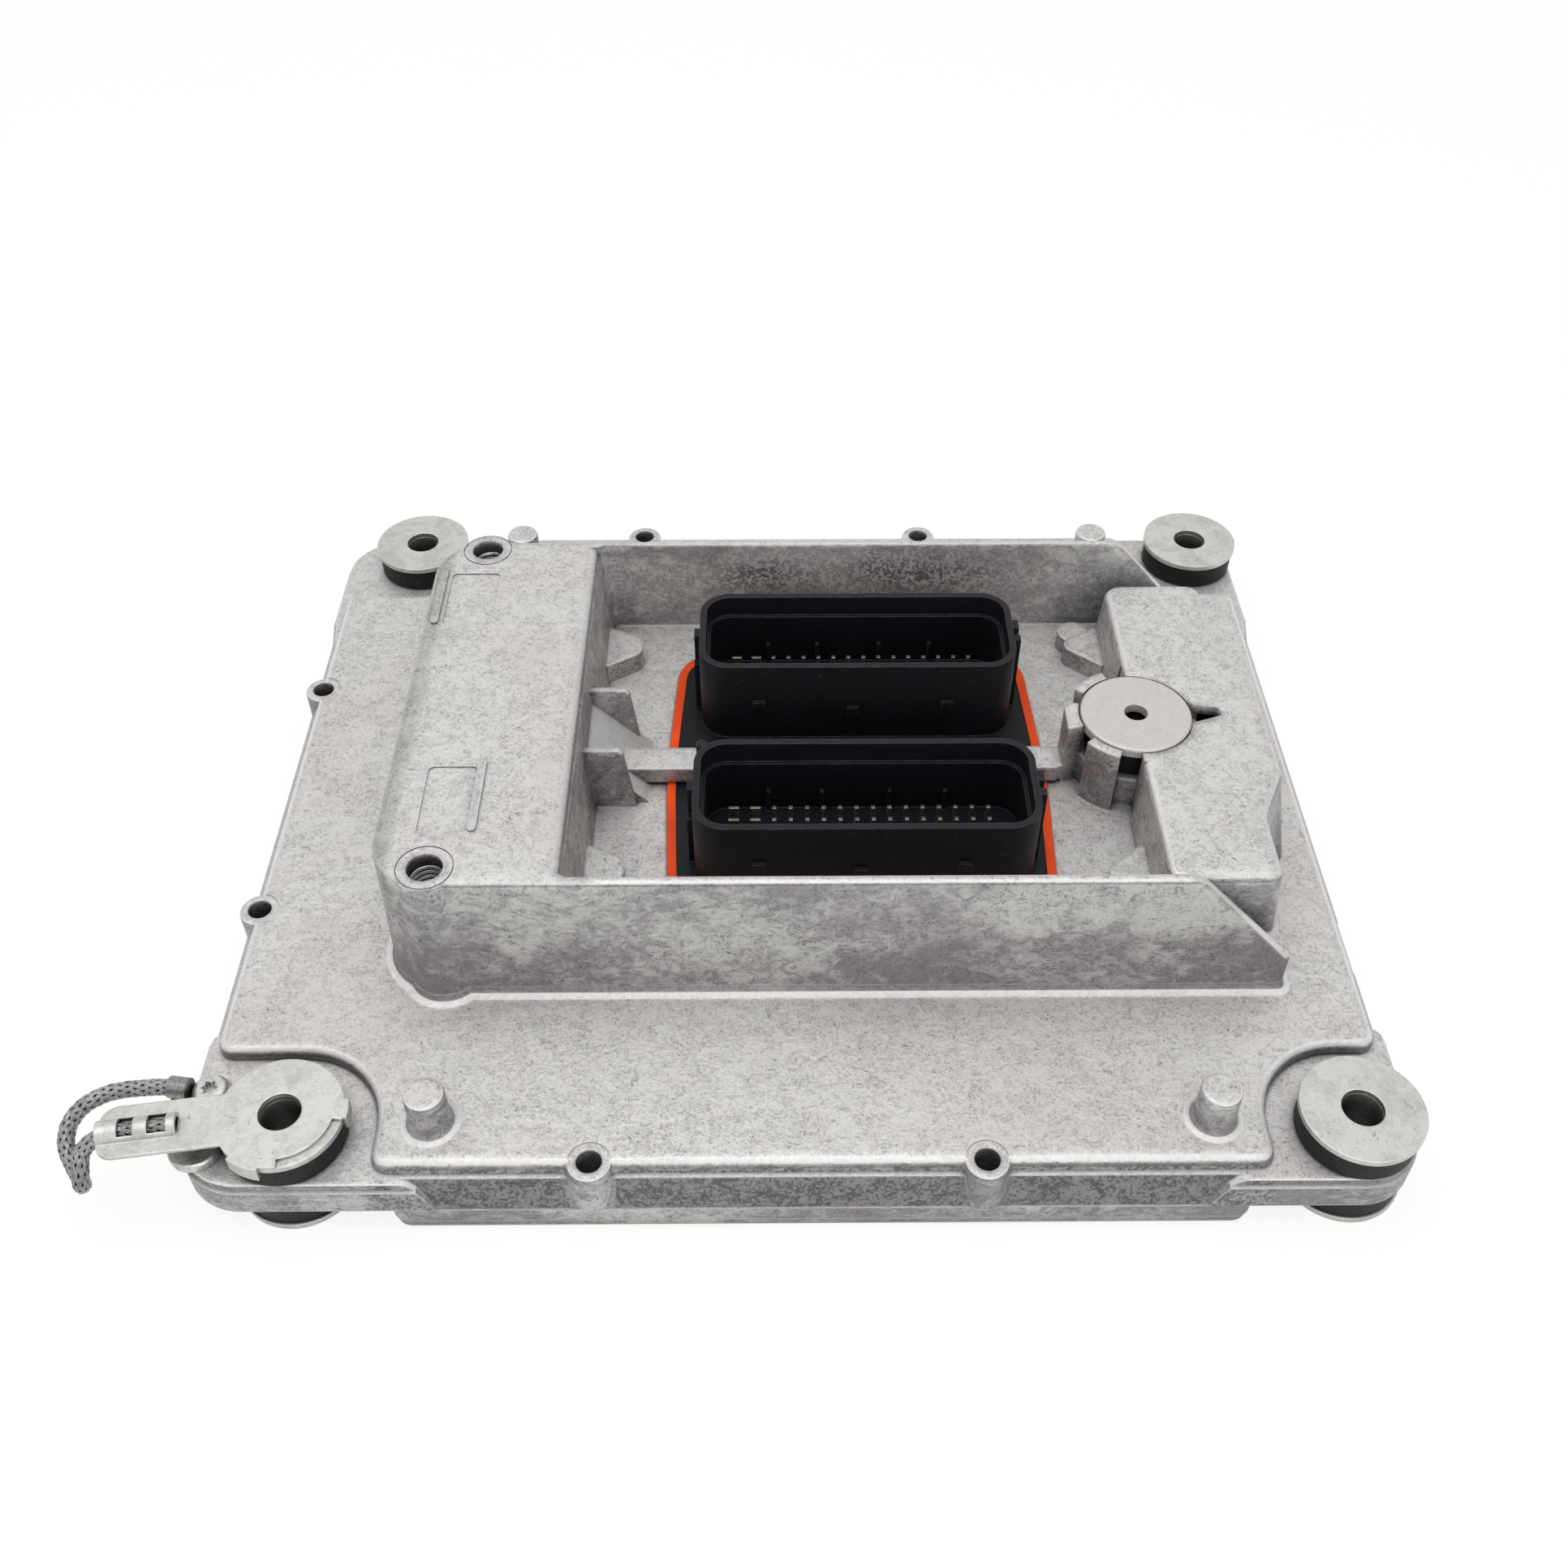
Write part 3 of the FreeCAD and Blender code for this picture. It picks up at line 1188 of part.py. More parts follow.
def main():
    """Write one STEP file for each piece."""
    os.makedirs("parts", exist_ok=True)
    for name, shape in build().items():
        print(name, len(shape.Solids), "solids", round(shape.Volume / 1000.0, 2), "cm3", shape.isValid())
        shape.exportStep("parts/" + name + ".step")


main()
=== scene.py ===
"""Engine control unit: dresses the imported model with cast, plated, moulded and braided finishes.

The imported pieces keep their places. New pieces are modelled in metres in the same frame:
X along the housing, Y toward its back, Z up out of the plug sockets.
"""

from __future__ import annotations

import json
import logging
import math
from dataclasses import dataclass
from enum import Enum
from typing import Any, Protocol, Sequence, Union

import bpy
from mathutils import Matrix, Vector


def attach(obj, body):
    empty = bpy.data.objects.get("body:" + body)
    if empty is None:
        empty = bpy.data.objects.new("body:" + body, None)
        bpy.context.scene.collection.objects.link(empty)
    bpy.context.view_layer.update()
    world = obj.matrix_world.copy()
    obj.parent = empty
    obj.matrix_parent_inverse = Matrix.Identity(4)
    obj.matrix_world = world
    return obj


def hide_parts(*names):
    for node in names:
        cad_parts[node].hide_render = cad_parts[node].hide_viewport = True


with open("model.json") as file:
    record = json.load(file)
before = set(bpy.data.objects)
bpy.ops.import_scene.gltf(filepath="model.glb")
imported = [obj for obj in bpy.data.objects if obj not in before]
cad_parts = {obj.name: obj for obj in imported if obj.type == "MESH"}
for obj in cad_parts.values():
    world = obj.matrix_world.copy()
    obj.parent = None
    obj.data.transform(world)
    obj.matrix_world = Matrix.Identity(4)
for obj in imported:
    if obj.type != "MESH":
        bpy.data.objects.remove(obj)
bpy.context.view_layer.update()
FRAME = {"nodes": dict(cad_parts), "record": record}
MM = 0.001
BODY = "root"
LOG = logging.getLogger("control_unit")

Point = tuple[float, float, float]
Colour = tuple[float, float, float]
Span = tuple[float, float]
Number = Union["Shade", float, int]
Tint = Union["Shade", bpy.types.NodeSocket, Colour]

# The stud holes in the tower's top, in millimetres.
STUD_HOLES: tuple[tuple[float, float], ...] = ((-89.3, -62.5), (-89.3, 55.5))
STUD_HOLE_RADIUS = 4.2

# Faces that meet at less than this are shaded smooth.
SMOOTH_ANGLE = math.radians(35)

# The Mix node's first input, second input and output, for colours and for vectors.
COLOUR_SOCKETS = (6, 7, 2)
VECTOR_SOCKETS = (4, 5, 1)

# Samples of each rounded edge and each hollow.
EDGE_SAMPLES = 6

# How far a rounded normal turns where the mask of an edge starts and where it is full.
EDGE_SPAN: Span = (0.01, 0.22)

# The shares of its radius between which the mask of a cylinder fades.
RIM_SPAN: Span = (0.99, 1.03)

# The middle of every noise, and the spans that turn one into crisp or into gentle patches.
NOISE_MIDDLE = 0.5
CRISP: Span = (0.42, 0.58)
GENTLE: Span = (0.40, 0.60)


def mm(*values: float) -> Vector:
    """Return a point given in millimetres as a vector in metres."""
    return Vector([v * MM for v in values])


class Axis(Enum):
    """An axis of the shared frame, by its place in a vector."""

    X = 0
    Y = 1
    Z = 2


class Blend(Enum):
    """How a second colour is laid over a first."""

    TURN = "MIX"
    MULTIPLY = "MULTIPLY"


class Shade:
    """A number that varies over a surface, written in sums like a plain number."""

    def __init__(self, graph: "Graph", socket: bpy.types.NodeSocket) -> None:
        """Wrap one output socket.

        Args:
            graph: The graph that the socket belongs to.
            socket: The output socket that gives the number.
        """
        self.graph = graph
        self.socket = socket

    def _maths(self, operation: str, *values: Number) -> "Shade":
        """Return the result of one maths node on the values.

        Args:
            operation: The node's operation.
            values: Its operands, in order.

        Returns:
            The node's output.
        """
        inputs = dict(enumerate(values))
        node = self.graph.node("ShaderNodeMath", {"operation": operation}, inputs)
        return Shade(self.graph, node.outputs[0])

    def __add__(self, other: Number) -> "Shade":
        """Return the sum."""
        return self._maths("ADD", self, other)

    def __radd__(self, other: Number) -> "Shade":
        """Return the sum."""
        return self._maths("ADD", other, self)

    def __sub__(self, other: Number) -> "Shade":
        """Return the difference."""
        return self._maths("SUBTRACT", self, other)

    def __rsub__(self, other: Number) -> "Shade":
        """Return the difference from a plain number."""
        return self._maths("SUBTRACT", other, self)

    def __mul__(self, other: Number) -> "Shade":
        """Return the product."""
        return self._maths("MULTIPLY", self, other)

    def __rmul__(self, other: Number) -> "Shade":
        """Return the product."""
        return self._maths("MULTIPLY", other, self)

    def __pow__(self, other: Number) -> "Shade":
        """Return the power."""
        return self._maths("POWER", self, other)

    def __abs__(self) -> "Shade":
        """Return the size without its sign."""
        return self._maths("ABSOLUTE", self)

    def above(self, other: Number) -> "Shade":
        """Return the larger of the two."""
        return self._maths("MAXIMUM", self, other)

    def step(self, low: float, high: float) -> "Shade":
        """Return a smooth rise from 0 at low to 1 at high.

        Args:
            low: The value at which the rise starts.
            high: The value at which it ends.

        Returns:
            The risen number, between 0 and 1.
        """
        node = self.graph.node(
            "ShaderNodeMapRange",
            {"interpolation_type": "SMOOTHSTEP"},
            {"Value": self, "From Min": low, "From Max": high},
        )
        return Shade(self.graph, node.outputs[0])

    def between(self, empty: float, full: float) -> "Shade":
        """Return a number from 0 to 1 stretched to run from empty to full."""
        return empty + self * (full - empty)


@dataclass(frozen=True)
class Noise:
    """A cloudy noise in the object's own space.

    It has `scale` clouds per metre and `detail` finer layers of strength `roughness`, and curls by
    `distortion`. `stretch` acts on each axis before it, and `shift` sets it apart from the others.
    """

    scale: float
    detail: float = 3.0
    roughness: float = 0.5
    distortion: float = 0.0
    stretch: Point = (1.0, 1.0, 1.0)
    shift: float = 0.0


@dataclass(frozen=True)
class CornerShade:
    """Painted shade in corners: how far it sees, the span in which it fills in, its strength and
    its tone.
    """

    reach: float
    span: Span
    strength: float
    tone: Colour


class Graph:
    """A tree of shader nodes with one output."""

    def __init__(self, tree: bpy.types.NodeTree, output: str) -> None:
        """Empty the tree and start it with its output.

        Args:
            tree: The tree of a material or a world.
            output: The type of its output node.
        """
        self.tree = tree
        self.tree.nodes.clear()
        self.output = self.node(output)

    def node(
        self,
        kind: str,
        settings: dict[str, Any] | None = None,
        inputs: dict[str | int, Any] | None = None,
    ) -> bpy.types.Node:
        """Add a node, set it, and fill or link its sockets.

        Args:
            kind: The node's type.
            settings: Its properties, set before its sockets.
            inputs: Values, shades or sockets by socket name or number.

        Returns:
            The new node.
        """
        node = self.tree.nodes.new(kind)
        for key, value in (settings or {}).items():
            setattr(node, key, value)
        for key, value in (inputs or {}).items():
            socket = node.inputs[key]
            if isinstance(value, Shade):
                self.tree.links.new(value.socket, socket)
            elif isinstance(value, bpy.types.NodeSocket):
                self.tree.links.new(value, socket)
            elif isinstance(value, tuple) and len(value) == 3 and socket.type == "RGBA":
                socket.default_value = (*value, 1.0)
            else:
                socket.default_value = value
        return node

    def finish(self, shader: bpy.types.Node) -> None:
        """Link the last shader to the output."""
        self.tree.links.new(shader.outputs[0], self.output.inputs[0])

    def backdrop(self) -> Shade:
        """Tell the rays that show this in a picture from those that light the object.

        Returns:
            1 for a camera's ray, a reflection and a view through glass, else 0.
        """
        path = self.node("ShaderNodeLightPath")
        seen = Shade(self, path.outputs["Is Camera Ray"])
        for ray in ("Is Glossy Ray", "Is Transmission Ray"):
            seen = seen.above(Shade(self, path.outputs[ray]))
        return seen


class MaterialGraph(Graph):
    """The nodes of one material."""

    def __init__(self, name: str) -> None:
        """Start an empty material.

        Args:
            name: The material's name.
        """
        self.material = bpy.data.materials.new(name)
        self.material.use_nodes = True
        super().__init__(self.material.node_tree, "ShaderNodeOutputMaterial")
        self.place = self.node("ShaderNodeTexCoord").outputs["Object"]

    def noise(self, recipe: Noise) -> Shade:
        """Return a cloudy noise.

        Args:
            recipe: How it is drawn.

        Returns:
            The noise, about 0.5 on average.
        """
        shift = (recipe.shift, recipe.shift, recipe.shift)
        mapping = self.node(
            "ShaderNodeMapping",
            None,
            {"Vector": self.place, "Location": shift, "Scale": recipe.stretch},
        )
        node = self.node(
            "ShaderNodeTexNoise",
            None,
            {
                "Vector": mapping.outputs[0],
                "Scale": recipe.scale,
                "Detail": recipe.detail,
                "Roughness": recipe.roughness,
                "Distortion": recipe.distortion,
            },
        )
        return Shade(self, node.outputs[0])

    def line(self, noise: Shade, thin: float, wide: float) -> Shade:
        """Return 1 along the lines where a noise crosses its middle.

        Args:
            noise: The noise.
            thin: How far from its middle the line starts to fade.
            wide: How far from its middle the line is gone.

        Returns:
            The mask.
        """
        return 1.0 - abs(noise - NOISE_MIDDLE).step(thin, wide)

    def _blend(self, mode: Blend, factor: Number, first: Tint, second: Tint) -> Shade:
        """Return one colour with another laid over it.

        Args:
            mode: How it is laid.
            factor: How much of it shows.
            first: The lower colour.
            second: The upper colour.

        Returns:
            The blended colour.
        """
        lower, upper, result = COLOUR_SOCKETS
        node = self.node(
            "ShaderNodeMix",
            {"data_type": "RGBA", "blend_type": mode.value},
            {0: factor, lower: first, upper: second},
        )
        return Shade(self, node.outputs[result])

    def mix(self, factor: Number, first: Tint, second: Tint) -> Shade:
        """Return the first colour turned toward the second by the factor."""
        return self._blend(Blend.TURN, factor, first, second)

    def tone(self, factor: Number, colour: Tint, strength: Tint) -> Shade:
        """Return the colour multiplied by the strength where the factor is 1."""
        return self._blend(Blend.MULTIPLY, factor, colour, strength)

    def _part(self, vector: bpy.types.NodeSocket, axis: Axis) -> Shade:
        """Return one part of a vector."""
        split = self.node("ShaderNodeSeparateXYZ", None, {0: vector})
        return Shade(self, split.outputs[axis.value])

    def facing(self, axis: Axis) -> Shade:
        """Return how far the surface faces along an axis: 1 toward it, -1 away from it."""
        return self._part(self.node("ShaderNodeNewGeometry").outputs["Normal"], axis)

    def along(self, axis: Axis) -> Shade:
        """Return one of the object's own coordinates, in metres."""
        return self._part(self.place, axis)

    def near(self, x: float, y: float, radius: float) -> Shade:
        """Return 1 inside an upright cylinder and 0 outside it.

        Args:
            x: The place of its axis along X, in metres.
            y: The place of its axis along Y, in metres.
            radius: Its radius, in metres.

        Returns:
            The mask.
        """
        away = (self.along(Axis.X) - x) ** 2.0 + (self.along(Axis.Y) - y) ** 2.0
        inner, outer = (radius * share for share in RIM_SPAN)
        return 1.0 - away.step(inner**2, outer**2)

    def rounded(self, radius: float) -> bpy.types.NodeSocket:
        """Return normals that turn smoothly over each edge."""
        node = self.node("ShaderNodeBevel", {"samples": EDGE_SAMPLES}, {"Radius": radius})
        return node.outputs[0]

    def blended(self, factor: Shade, first: float, second: float) -> bpy.types.NodeSocket:
        """Return normals rounded by one radius here and by another there.

        Args:
            factor: 0 where the first radius holds, 1 where the second does.
            first: The first radius, in metres.
            second: The second radius, in metres.

        Returns:
            The normals.
        """
        lower, upper, result = VECTOR_SOCKETS
        blend = self.node(
            "ShaderNodeMix",
            {"data_type": "VECTOR"},
            {0: factor, lower: self.rounded(first), upper: self.rounded(second)},
        )
        unit = self.node(
            "ShaderNodeVectorMath", {"operation": "NORMALIZE"}, {0: blend.outputs[result]}
        )
        return unit.outputs[0]

    def edges(self, radius: float) -> Shade:
        """Return 1 along edges and 0 on open faces.

        Args:
            radius: How far from an edge the mask starts, in metres.

        Returns:
            The mask.
        """
        flat = self.node("ShaderNodeNewGeometry").outputs["Normal"]
        dot = self.node(
            "ShaderNodeVectorMath",
            {"operation": "DOT_PRODUCT"},
            {0: self.rounded(radius), 1: flat},
        )
        return (1.0 - Shade(self, dot.outputs["Value"])).step(*EDGE_SPAN)

    def hollows(self, distance: float) -> Shade:
        """Return 1 deep in corners and 0 on open faces.

        Args:
            distance: How far off a face still counts, in metres.

        Returns:
            The mask.
        """
        node = self.node(
            "ShaderNodeAmbientOcclusion", {"samples": EDGE_SAMPLES}, {"Distance": distance}
        )
        return 1.0 - Shade(self, node.outputs["AO"])

    def corner_shaded(self, colour: Tint, corner_shade: CornerShade) -> Shade:
        """Return the colour with painted shade in its corners."""
        corner_shade_mask = self.hollows(corner_shade.reach).step(*corner_shade.span) * corner_shade.strength
        return self.tone(corner_shade_mask, colour, corner_shade.tone)

    def bump(
        self, height: Number, distance: float, normal: bpy.types.NodeSocket | None = None
    ) -> bpy.types.NodeSocket:
        """Return normals raised by the height.

        Args:
            height: The height, from 0 to 1.
            distance: What a height of 1 stands for, in metres.
            normal: Normals to start from.

        Returns:
            The new normals.
        """
        inputs: dict[str | int, Any] = {"Height": height, "Distance": distance, "Strength": 1.0}
        if normal is not None:
            inputs["Normal"] = normal
        return self.node("ShaderNodeBump", None, inputs).outputs[0]

    def surface(self, **sockets: Any) -> bpy.types.Material:
        """Finish the material with one shader.

        Args:
            sockets: Values or links by socket name, with _ for each space.

        Returns:
            The finished material.
        """
        inputs = {key.replace("_", " "): value for key, value in sockets.items()}
        self.finish(self.node("ShaderNodeBsdfPrincipled", None, inputs))
        return self.material


@dataclass(frozen=True)
class CastAluminium:
    """Die-cast aluminium: cloudy grey with curled marks, steep faces more marked and darkened by
    painted shade, and painted highlights on edges.

    Lengths, places and heights are in metres. A span is where a mask starts and where it is full,
    and a range is the strength at its empty and at its full end.
    """

    name: str = "cast_aluminium"
    metallic: float = 0.42
    roughness: float = 0.36
    patch_roughness: float = 0.10
    speck_roughness: float = 0.16
    relief: float = 0.00034

    # Flat faces; steep faces, whose shade colour is painted shade; and the skirt below the rim, its
    # darker blue-grey painted shade.
    light: Colour = (0.68, 0.665, 0.65)
    middle: Colour = (0.46, 0.445, 0.435)
    stain: Colour = (0.52, 0.475, 0.47)
    wall: Colour = (0.67, 0.665, 0.645)
    shade: Colour = (0.245, 0.230, 0.240)
    skirt: Colour = (0.37, 0.375, 0.39)
    skirt_mark: Colour = (0.038, 0.039, 0.046)

    # Marks, worn edges with painted highlights, and the painted shade that darkens the metal.
    mark: Colour = (0.13, 0.12, 0.125)
    curl: Colour = (0.045, 0.040, 0.046)
    pit: Colour = (0.03, 0.028, 0.03)
    # Bright colour of pale grain, worn edges, painted highlights and painted light.
    edge: Colour = (0.88, 0.875, 0.865)
    # Tones of painted shade: on leaning faces, in the band, on rounded edges, in recesses and in
    # bores.
    draft_shade_tone: Colour = (0.36, 0.35, 0.36)
    band_shade_tone: Colour = (0.70, 0.715, 0.69)
    edge_shade_tone: Colour = (0.58, 0.57, 0.58)
    recess_shade_tone: Colour = (0.46, 0.43, 0.44)
    bore_shade_tone: Colour = (0.13, 0.12, 0.13)
    # Painted shade in corners, at three reaches.
    corner_shade: tuple[CornerShade, ...] = (
        CornerShade(0.0010, (0.14, 0.50), 0.42, (0.34, 0.32, 0.33)),
        CornerShade(0.0030, (0.30, 0.80), 0.75, (0.28, 0.26, 0.27)),
        CornerShade(0.0120, (0.55, 0.95), 0.90, (0.22, 0.20, 0.21)),
    )

    # Noises, from the largest to the smallest.
    clouds: Noise = Noise(20.0, 3.0, 0.55, 0.4, stretch=(0.7, 1.0, 1.6))
    patches: Noise = Noise(85.0, 4.0, 0.62, 0.9, shift=3.0)
    blots: Noise = Noise(300.0, 4.0, 0.66, 1.1, stretch=(0.8, 1.0, 1.2), shift=5.0)
    curls: Noise = Noise(520.0, 3.0, 0.60, 1.6, shift=7.0)
    pores: Noise = Noise(900.0, 1.0, stretch=(0.6, 1.0, 1.6), shift=17.0)
    specks: Noise = Noise(1150.0, 3.0, 0.62, 0.6, shift=9.0)
    grains: Noise = Noise(3600.0, 2.0, shift=13.0)

    # How the metal is mottled, with painted shade on steep faces and the skirt.
    mottle_span: Span = (0.43, 0.57)
    mottle_strength: float = 0.46
    stain_span: Span = (0.46, 0.64)
    stain_strength: float = 0.30
    wall_span: Span = (0.0, 1.10)
    shade_span: Span = (0.40, 0.60)
    shade_strength: float = 0.75
    foot_shade_strength: float = 0.35
    skirt_strength: float = 0.92
    skirt_mark_span: Span = (0.46, 0.55)
    skirt_mark_strength: float = 0.88

    # How it is marked.
    mark_span: Span = (0.0, 1.10)
    mark_line: Span = (0.003, 0.030)
    mark_range: Span = (0.16, 0.88)
    dot_span: Span = (0.53, 0.61)
    dot_range: Span = (0.20, 0.44)
    dot_patches: Span = (0.42, 0.60)
    flat_marks: float = 0.80
    steep_marks_and_shade: Span = (0.25, 1.15)
    curl_span: Span = (0.480, 0.545)
    curl_range: Span = (0.45, 0.90)
    curl_clouds: Span = (0.40, 0.58)
    pit_span: Span = (0.735, 0.765)
    pit_range: Span = (0.35, 0.80)
    grain_span: Span = (0.50, 0.72)
    grain_strength: float = 0.20

    # How it is worn and given painted highlights and painted shade.
    draft_shade_strength: float = 0.62
    fillet_highlight_range: Span = (0.45, 0.75)
    worn_and_highlit_range: Span = (0.40, 0.75)
    soft_fillet_highlight: float = 0.60
    soft_wear_and_highlight: float = 0.55
    worn_and_highlit_radius: float = 0.0011
    lip_highlight_radius: float = 0.0005
    lip_highlight_strength: float = 0.55
    band_shade_range: Span = (0.68, 1.0)
    edge_shade_range: Span = (0.20, 0.60)
    recess_shade_strength: float = 0.36
    plain_round: float = 0.0016
    soft_round: float = 0.0042

    # Directions, as parts of the surface's normal.
    steep: Span = (0.30, 0.90)
    leaning_left: Span = (0.25, 0.45)
    facing_front: Span = (0.60, 0.95)
    draft_low: Span = (0.08, 0.18)
    draft_high: Span = (0.42, 0.60)
    fillet_highlight_low: Span = (0.50, 0.72)
    fillet_highlight_high: Span = (0.90, 0.99)
    lip_up: Span = (0.985, 0.999)

    # Places on the housing.
    recess_reach: float = 0.0260
    recess_shade_span: Span = (0.25, 0.75)
    skirt_top: float = 0.0190
    skirt_foot: float = 0.0078
    skirt_reach: float = 0.100
    skirt_reach_fade: float = 0.003
    skirt_top_fade: Span = (0.0012, 0.0004)
    skirt_foot_fade: float = 0.0001
    deck_edge: Span = (0.023, 0.025)
    wall_foot: Span = (0.021, 0.050)
    tower_top: Span = (0.044, 0.048)
    tower_end: float = 0.049
    block_end: float = 0.083
    end_fade: float = 0.003
    band_shade: Span = (0.0968, 0.0994)
    back_wall: Span = (0.030, 0.045)
    back_wall_depth: Span = (0.16, 0.46)
    back_wall_height: Span = (0.040, 0.050)
    back_wall_middle: float = 0.012
    back_wall_width: Span = (0.040, 0.085)
    back_wall_range: Span = (0.35, 1.0)
    back_wall_fade: float = 0.70
    back_wall_painted_light: float = 0.60
    bore_rim: Span = (0.0575, 0.0592)

    # Upright bores and bosses, each by x, y and radius.
    bores: tuple[Point, ...] = ()
    bosses: tuple[Point, ...] = ()

    def make(self) -> bpy.types.Material:
        """Return the material."""
        return CastLayers(self).make()


class CastLayers(MaterialGraph):
    """The layers of one cast finish, laid one on another."""

    def __init__(self, look: CastAluminium) -> None:
        """Start the material with its noises and its masks.

        Args:
            look: The colours, noises and places.
        """
        super().__init__(look.name)
        self.look = look
        self.x, self.y, self.height = (self.along(axis) for axis in Axis)
        self.up = self.facing(Axis.Z)
        self.side = (1.0 - abs(self.up)).step(*look.steep)
        self.depth = self.hollows(look.recess_reach)
        self.cloud = self.noise(look.clouds)
        self.patch = self.noise(look.patches)
        self.blot = self.noise(look.blots)
        self.curl = self.noise(look.curls)
        self.speck = self.noise(look.specks)
        self.grain = self.noise(look.grains)
        self.soft = self.soft_ends()
        self.deep = self.deep_wall()

    def soft_ends(self) -> Shade:
        """Mask the tower's left end and the block, whose upper edges look round.

        Returns:
            1 on their upper parts, else 0.
        """
        look = self.look
        left = self.x * -1.0 - look.tower_end
        right = self.x - look.block_end
        return left.above(right).step(0.0, look.end_fade) * self.height.step(*look.tower_top)

    def deep_wall(self) -> Shade:
        """Mask the pocket's back wall where the rear socket hides it from the light.

        Returns:
            1 in its depth, falling off to its sides and its foot.
        """
        look = self.look
        front = (self.facing(Axis.Y) * -1.0).step(*look.facing_front)
        wall = self.depth.step(*look.back_wall_depth) * front * self.y.step(*look.back_wall)
        height = self.height.step(*look.back_wall_height)
        wall = wall * height.between(*look.back_wall_range)
        away = abs(self.x - look.back_wall_middle)
        return wall * (1.0 - away.step(*look.back_wall_width) * look.back_wall_fade)

    def skirt(self) -> Shade:
        """Mask the skirt below the rim, between the ears and clear of the bosses.

        Returns:
            1 on the skirt, else 0.
        """
        look = self.look
        below, above = look.skirt_top_fade
        low = 1.0 - self.height.step(look.skirt_top - below, look.skirt_top + above)
        fade = look.skirt_reach_fade
        low = low * (1.0 - abs(self.x).step(look.skirt_reach - fade, look.skirt_reach + fade))
        fade = look.skirt_foot_fade
        low = low * self.height.step(look.skirt_foot - fade, look.skirt_foot + fade)
        for boss in look.bosses:
            low = low * (1.0 - self.near(*boss))
        return low

    def metal(self) -> Shade:
        """Lay the metal of flat faces, and of steep faces and the skirt with painted shade.

        Returns:
            Its colour.
        """
        look = self.look
        mottle = self.patch * 0.14 + self.blot * 0.34 + self.speck * 0.52
        mottle = mottle.step(*look.mottle_span) * look.mottle_strength
        stains = self.cloud.step(*look.stain_span) * look.stain_strength
        tops = self.mix(stains, self.mix(mottle, look.light, look.middle), look.stain)
        # Steep faces: painted shade in patches and darker toward their foot, standing in for the
        # dark reflections that steep faces catch.
        shading = self.cloud * 0.50 + self.patch * 0.20 + self.blot * 0.30
        shading = shading.step(*look.shade_span) * look.shade_strength
        foot = (1.0 - self.height.step(*look.wall_foot)) * look.foot_shade_strength
        walls = self.mix((shading + foot).step(*look.wall_span), look.wall, look.shade)
        marks = (self.speck * 0.55 + self.blot * 0.45).step(*look.skirt_mark_span)
        skirt = self.mix(marks * look.skirt_mark_strength, look.skirt, look.skirt_mark)
        # The skirt's darker blue-grey is painted shade; its black mottling is cast marks.
        walls = self.mix(self.skirt() * look.skirt_strength, walls, skirt)
        return self.mix(self.side, tops, walls)

    def marked(self, colour: Shade) -> Shade:
        """Add curled marks, pits and grain, with painted light and partly painted dark curls on the
        back wall.

        Args:
            colour: The colour below.

        Returns:
            The new colour.
        """
        look = self.look
        lines = self.line(self.curl, *look.mark_line)
        marks = lines * self.blot.step(*CRISP).between(*look.mark_range)
        dots = self.speck.step(*look.dot_span)
        marks = marks + dots * self.patch.step(*look.dot_patches).between(*look.dot_range)
        # Marks grow heavier on steep faces deep in recesses: partly cast marks, partly painted
        # shade.
        marks = marks * (look.flat_marks + self.side * self.depth.between(*look.steep_marks_and_shade))
        colour = self.mix(marks.step(*look.mark_span), colour, look.mark)
        # Painted light brightens the back wall's shaded depth; the dark curls there are partly cast
        # marks, partly painted dark reflection of the sockets.
        colour = self.mix(self.deep * look.back_wall_painted_light, colour, look.edge)
        curls = self.curl.step(*look.curl_span)
        curls = curls * self.cloud.step(*look.curl_clouds).between(*look.curl_range)
        colour = self.mix(curls * self.deep, colour, look.curl)
        pits = self.noise(look.pores).step(*look.pit_span)
        colour = self.mix(pits * self.side.between(*look.pit_range), colour, look.pit)
        return self.mix(self.grain.step(*look.grain_span) * look.grain_strength, colour, look.edge)

    def worn_and_highlit(self, colour: Shade) -> Shade:
        """Add worn edges that are partly painted highlight, painted highlights on fillets and lips,
        and painted shade on the faces that lean.

        Args:
            colour: The colour below.

        Returns:
            The new colour.
        """
        look = self.look
        left = (self.facing(Axis.X) * -1.0).step(*look.leaning_left)
        slope = left * self.height.step(*look.deck_edge)
        # Painted shade on the faces that lean, except the left slope.
        draft_shade = self.up.step(*look.draft_low) * (1.0 - self.up.step(*look.draft_high))
        colour = self.tone(draft_shade * (1.0 - slope) * look.draft_shade_strength, colour, look.draft_shade_tone)
        rubbed = self.blot.step(*GENTLE)
        # Painted highlight on fillets, weaker on the soft ends.
        glow = self.up.step(*look.fillet_highlight_low) * (1.0 - self.up.step(*look.fillet_highlight_high))
        glow = glow * (1.0 - self.soft * look.soft_fillet_highlight)
        colour = self.mix(glow * rubbed.between(*look.fillet_highlight_range), colour, look.edge)
        # Bright edges: partly wear, partly painted highlight.
        worn_and_highlit = self.edges(look.worn_and_highlit_radius) * rubbed.between(*look.worn_and_highlit_range)
        colour = self.mix(worn_and_highlit * (1.0 - self.soft * look.soft_wear_and_highlight), colour, look.edge)
        # Painted highlight along the top rims of recesses and bars on the soft ends.
        lip_highlight = self.edges(look.lip_highlight_radius) * self.up.step(*look.lip_up) * self.soft
        return self.mix(lip_highlight * look.lip_highlight_strength, colour, look.edge)

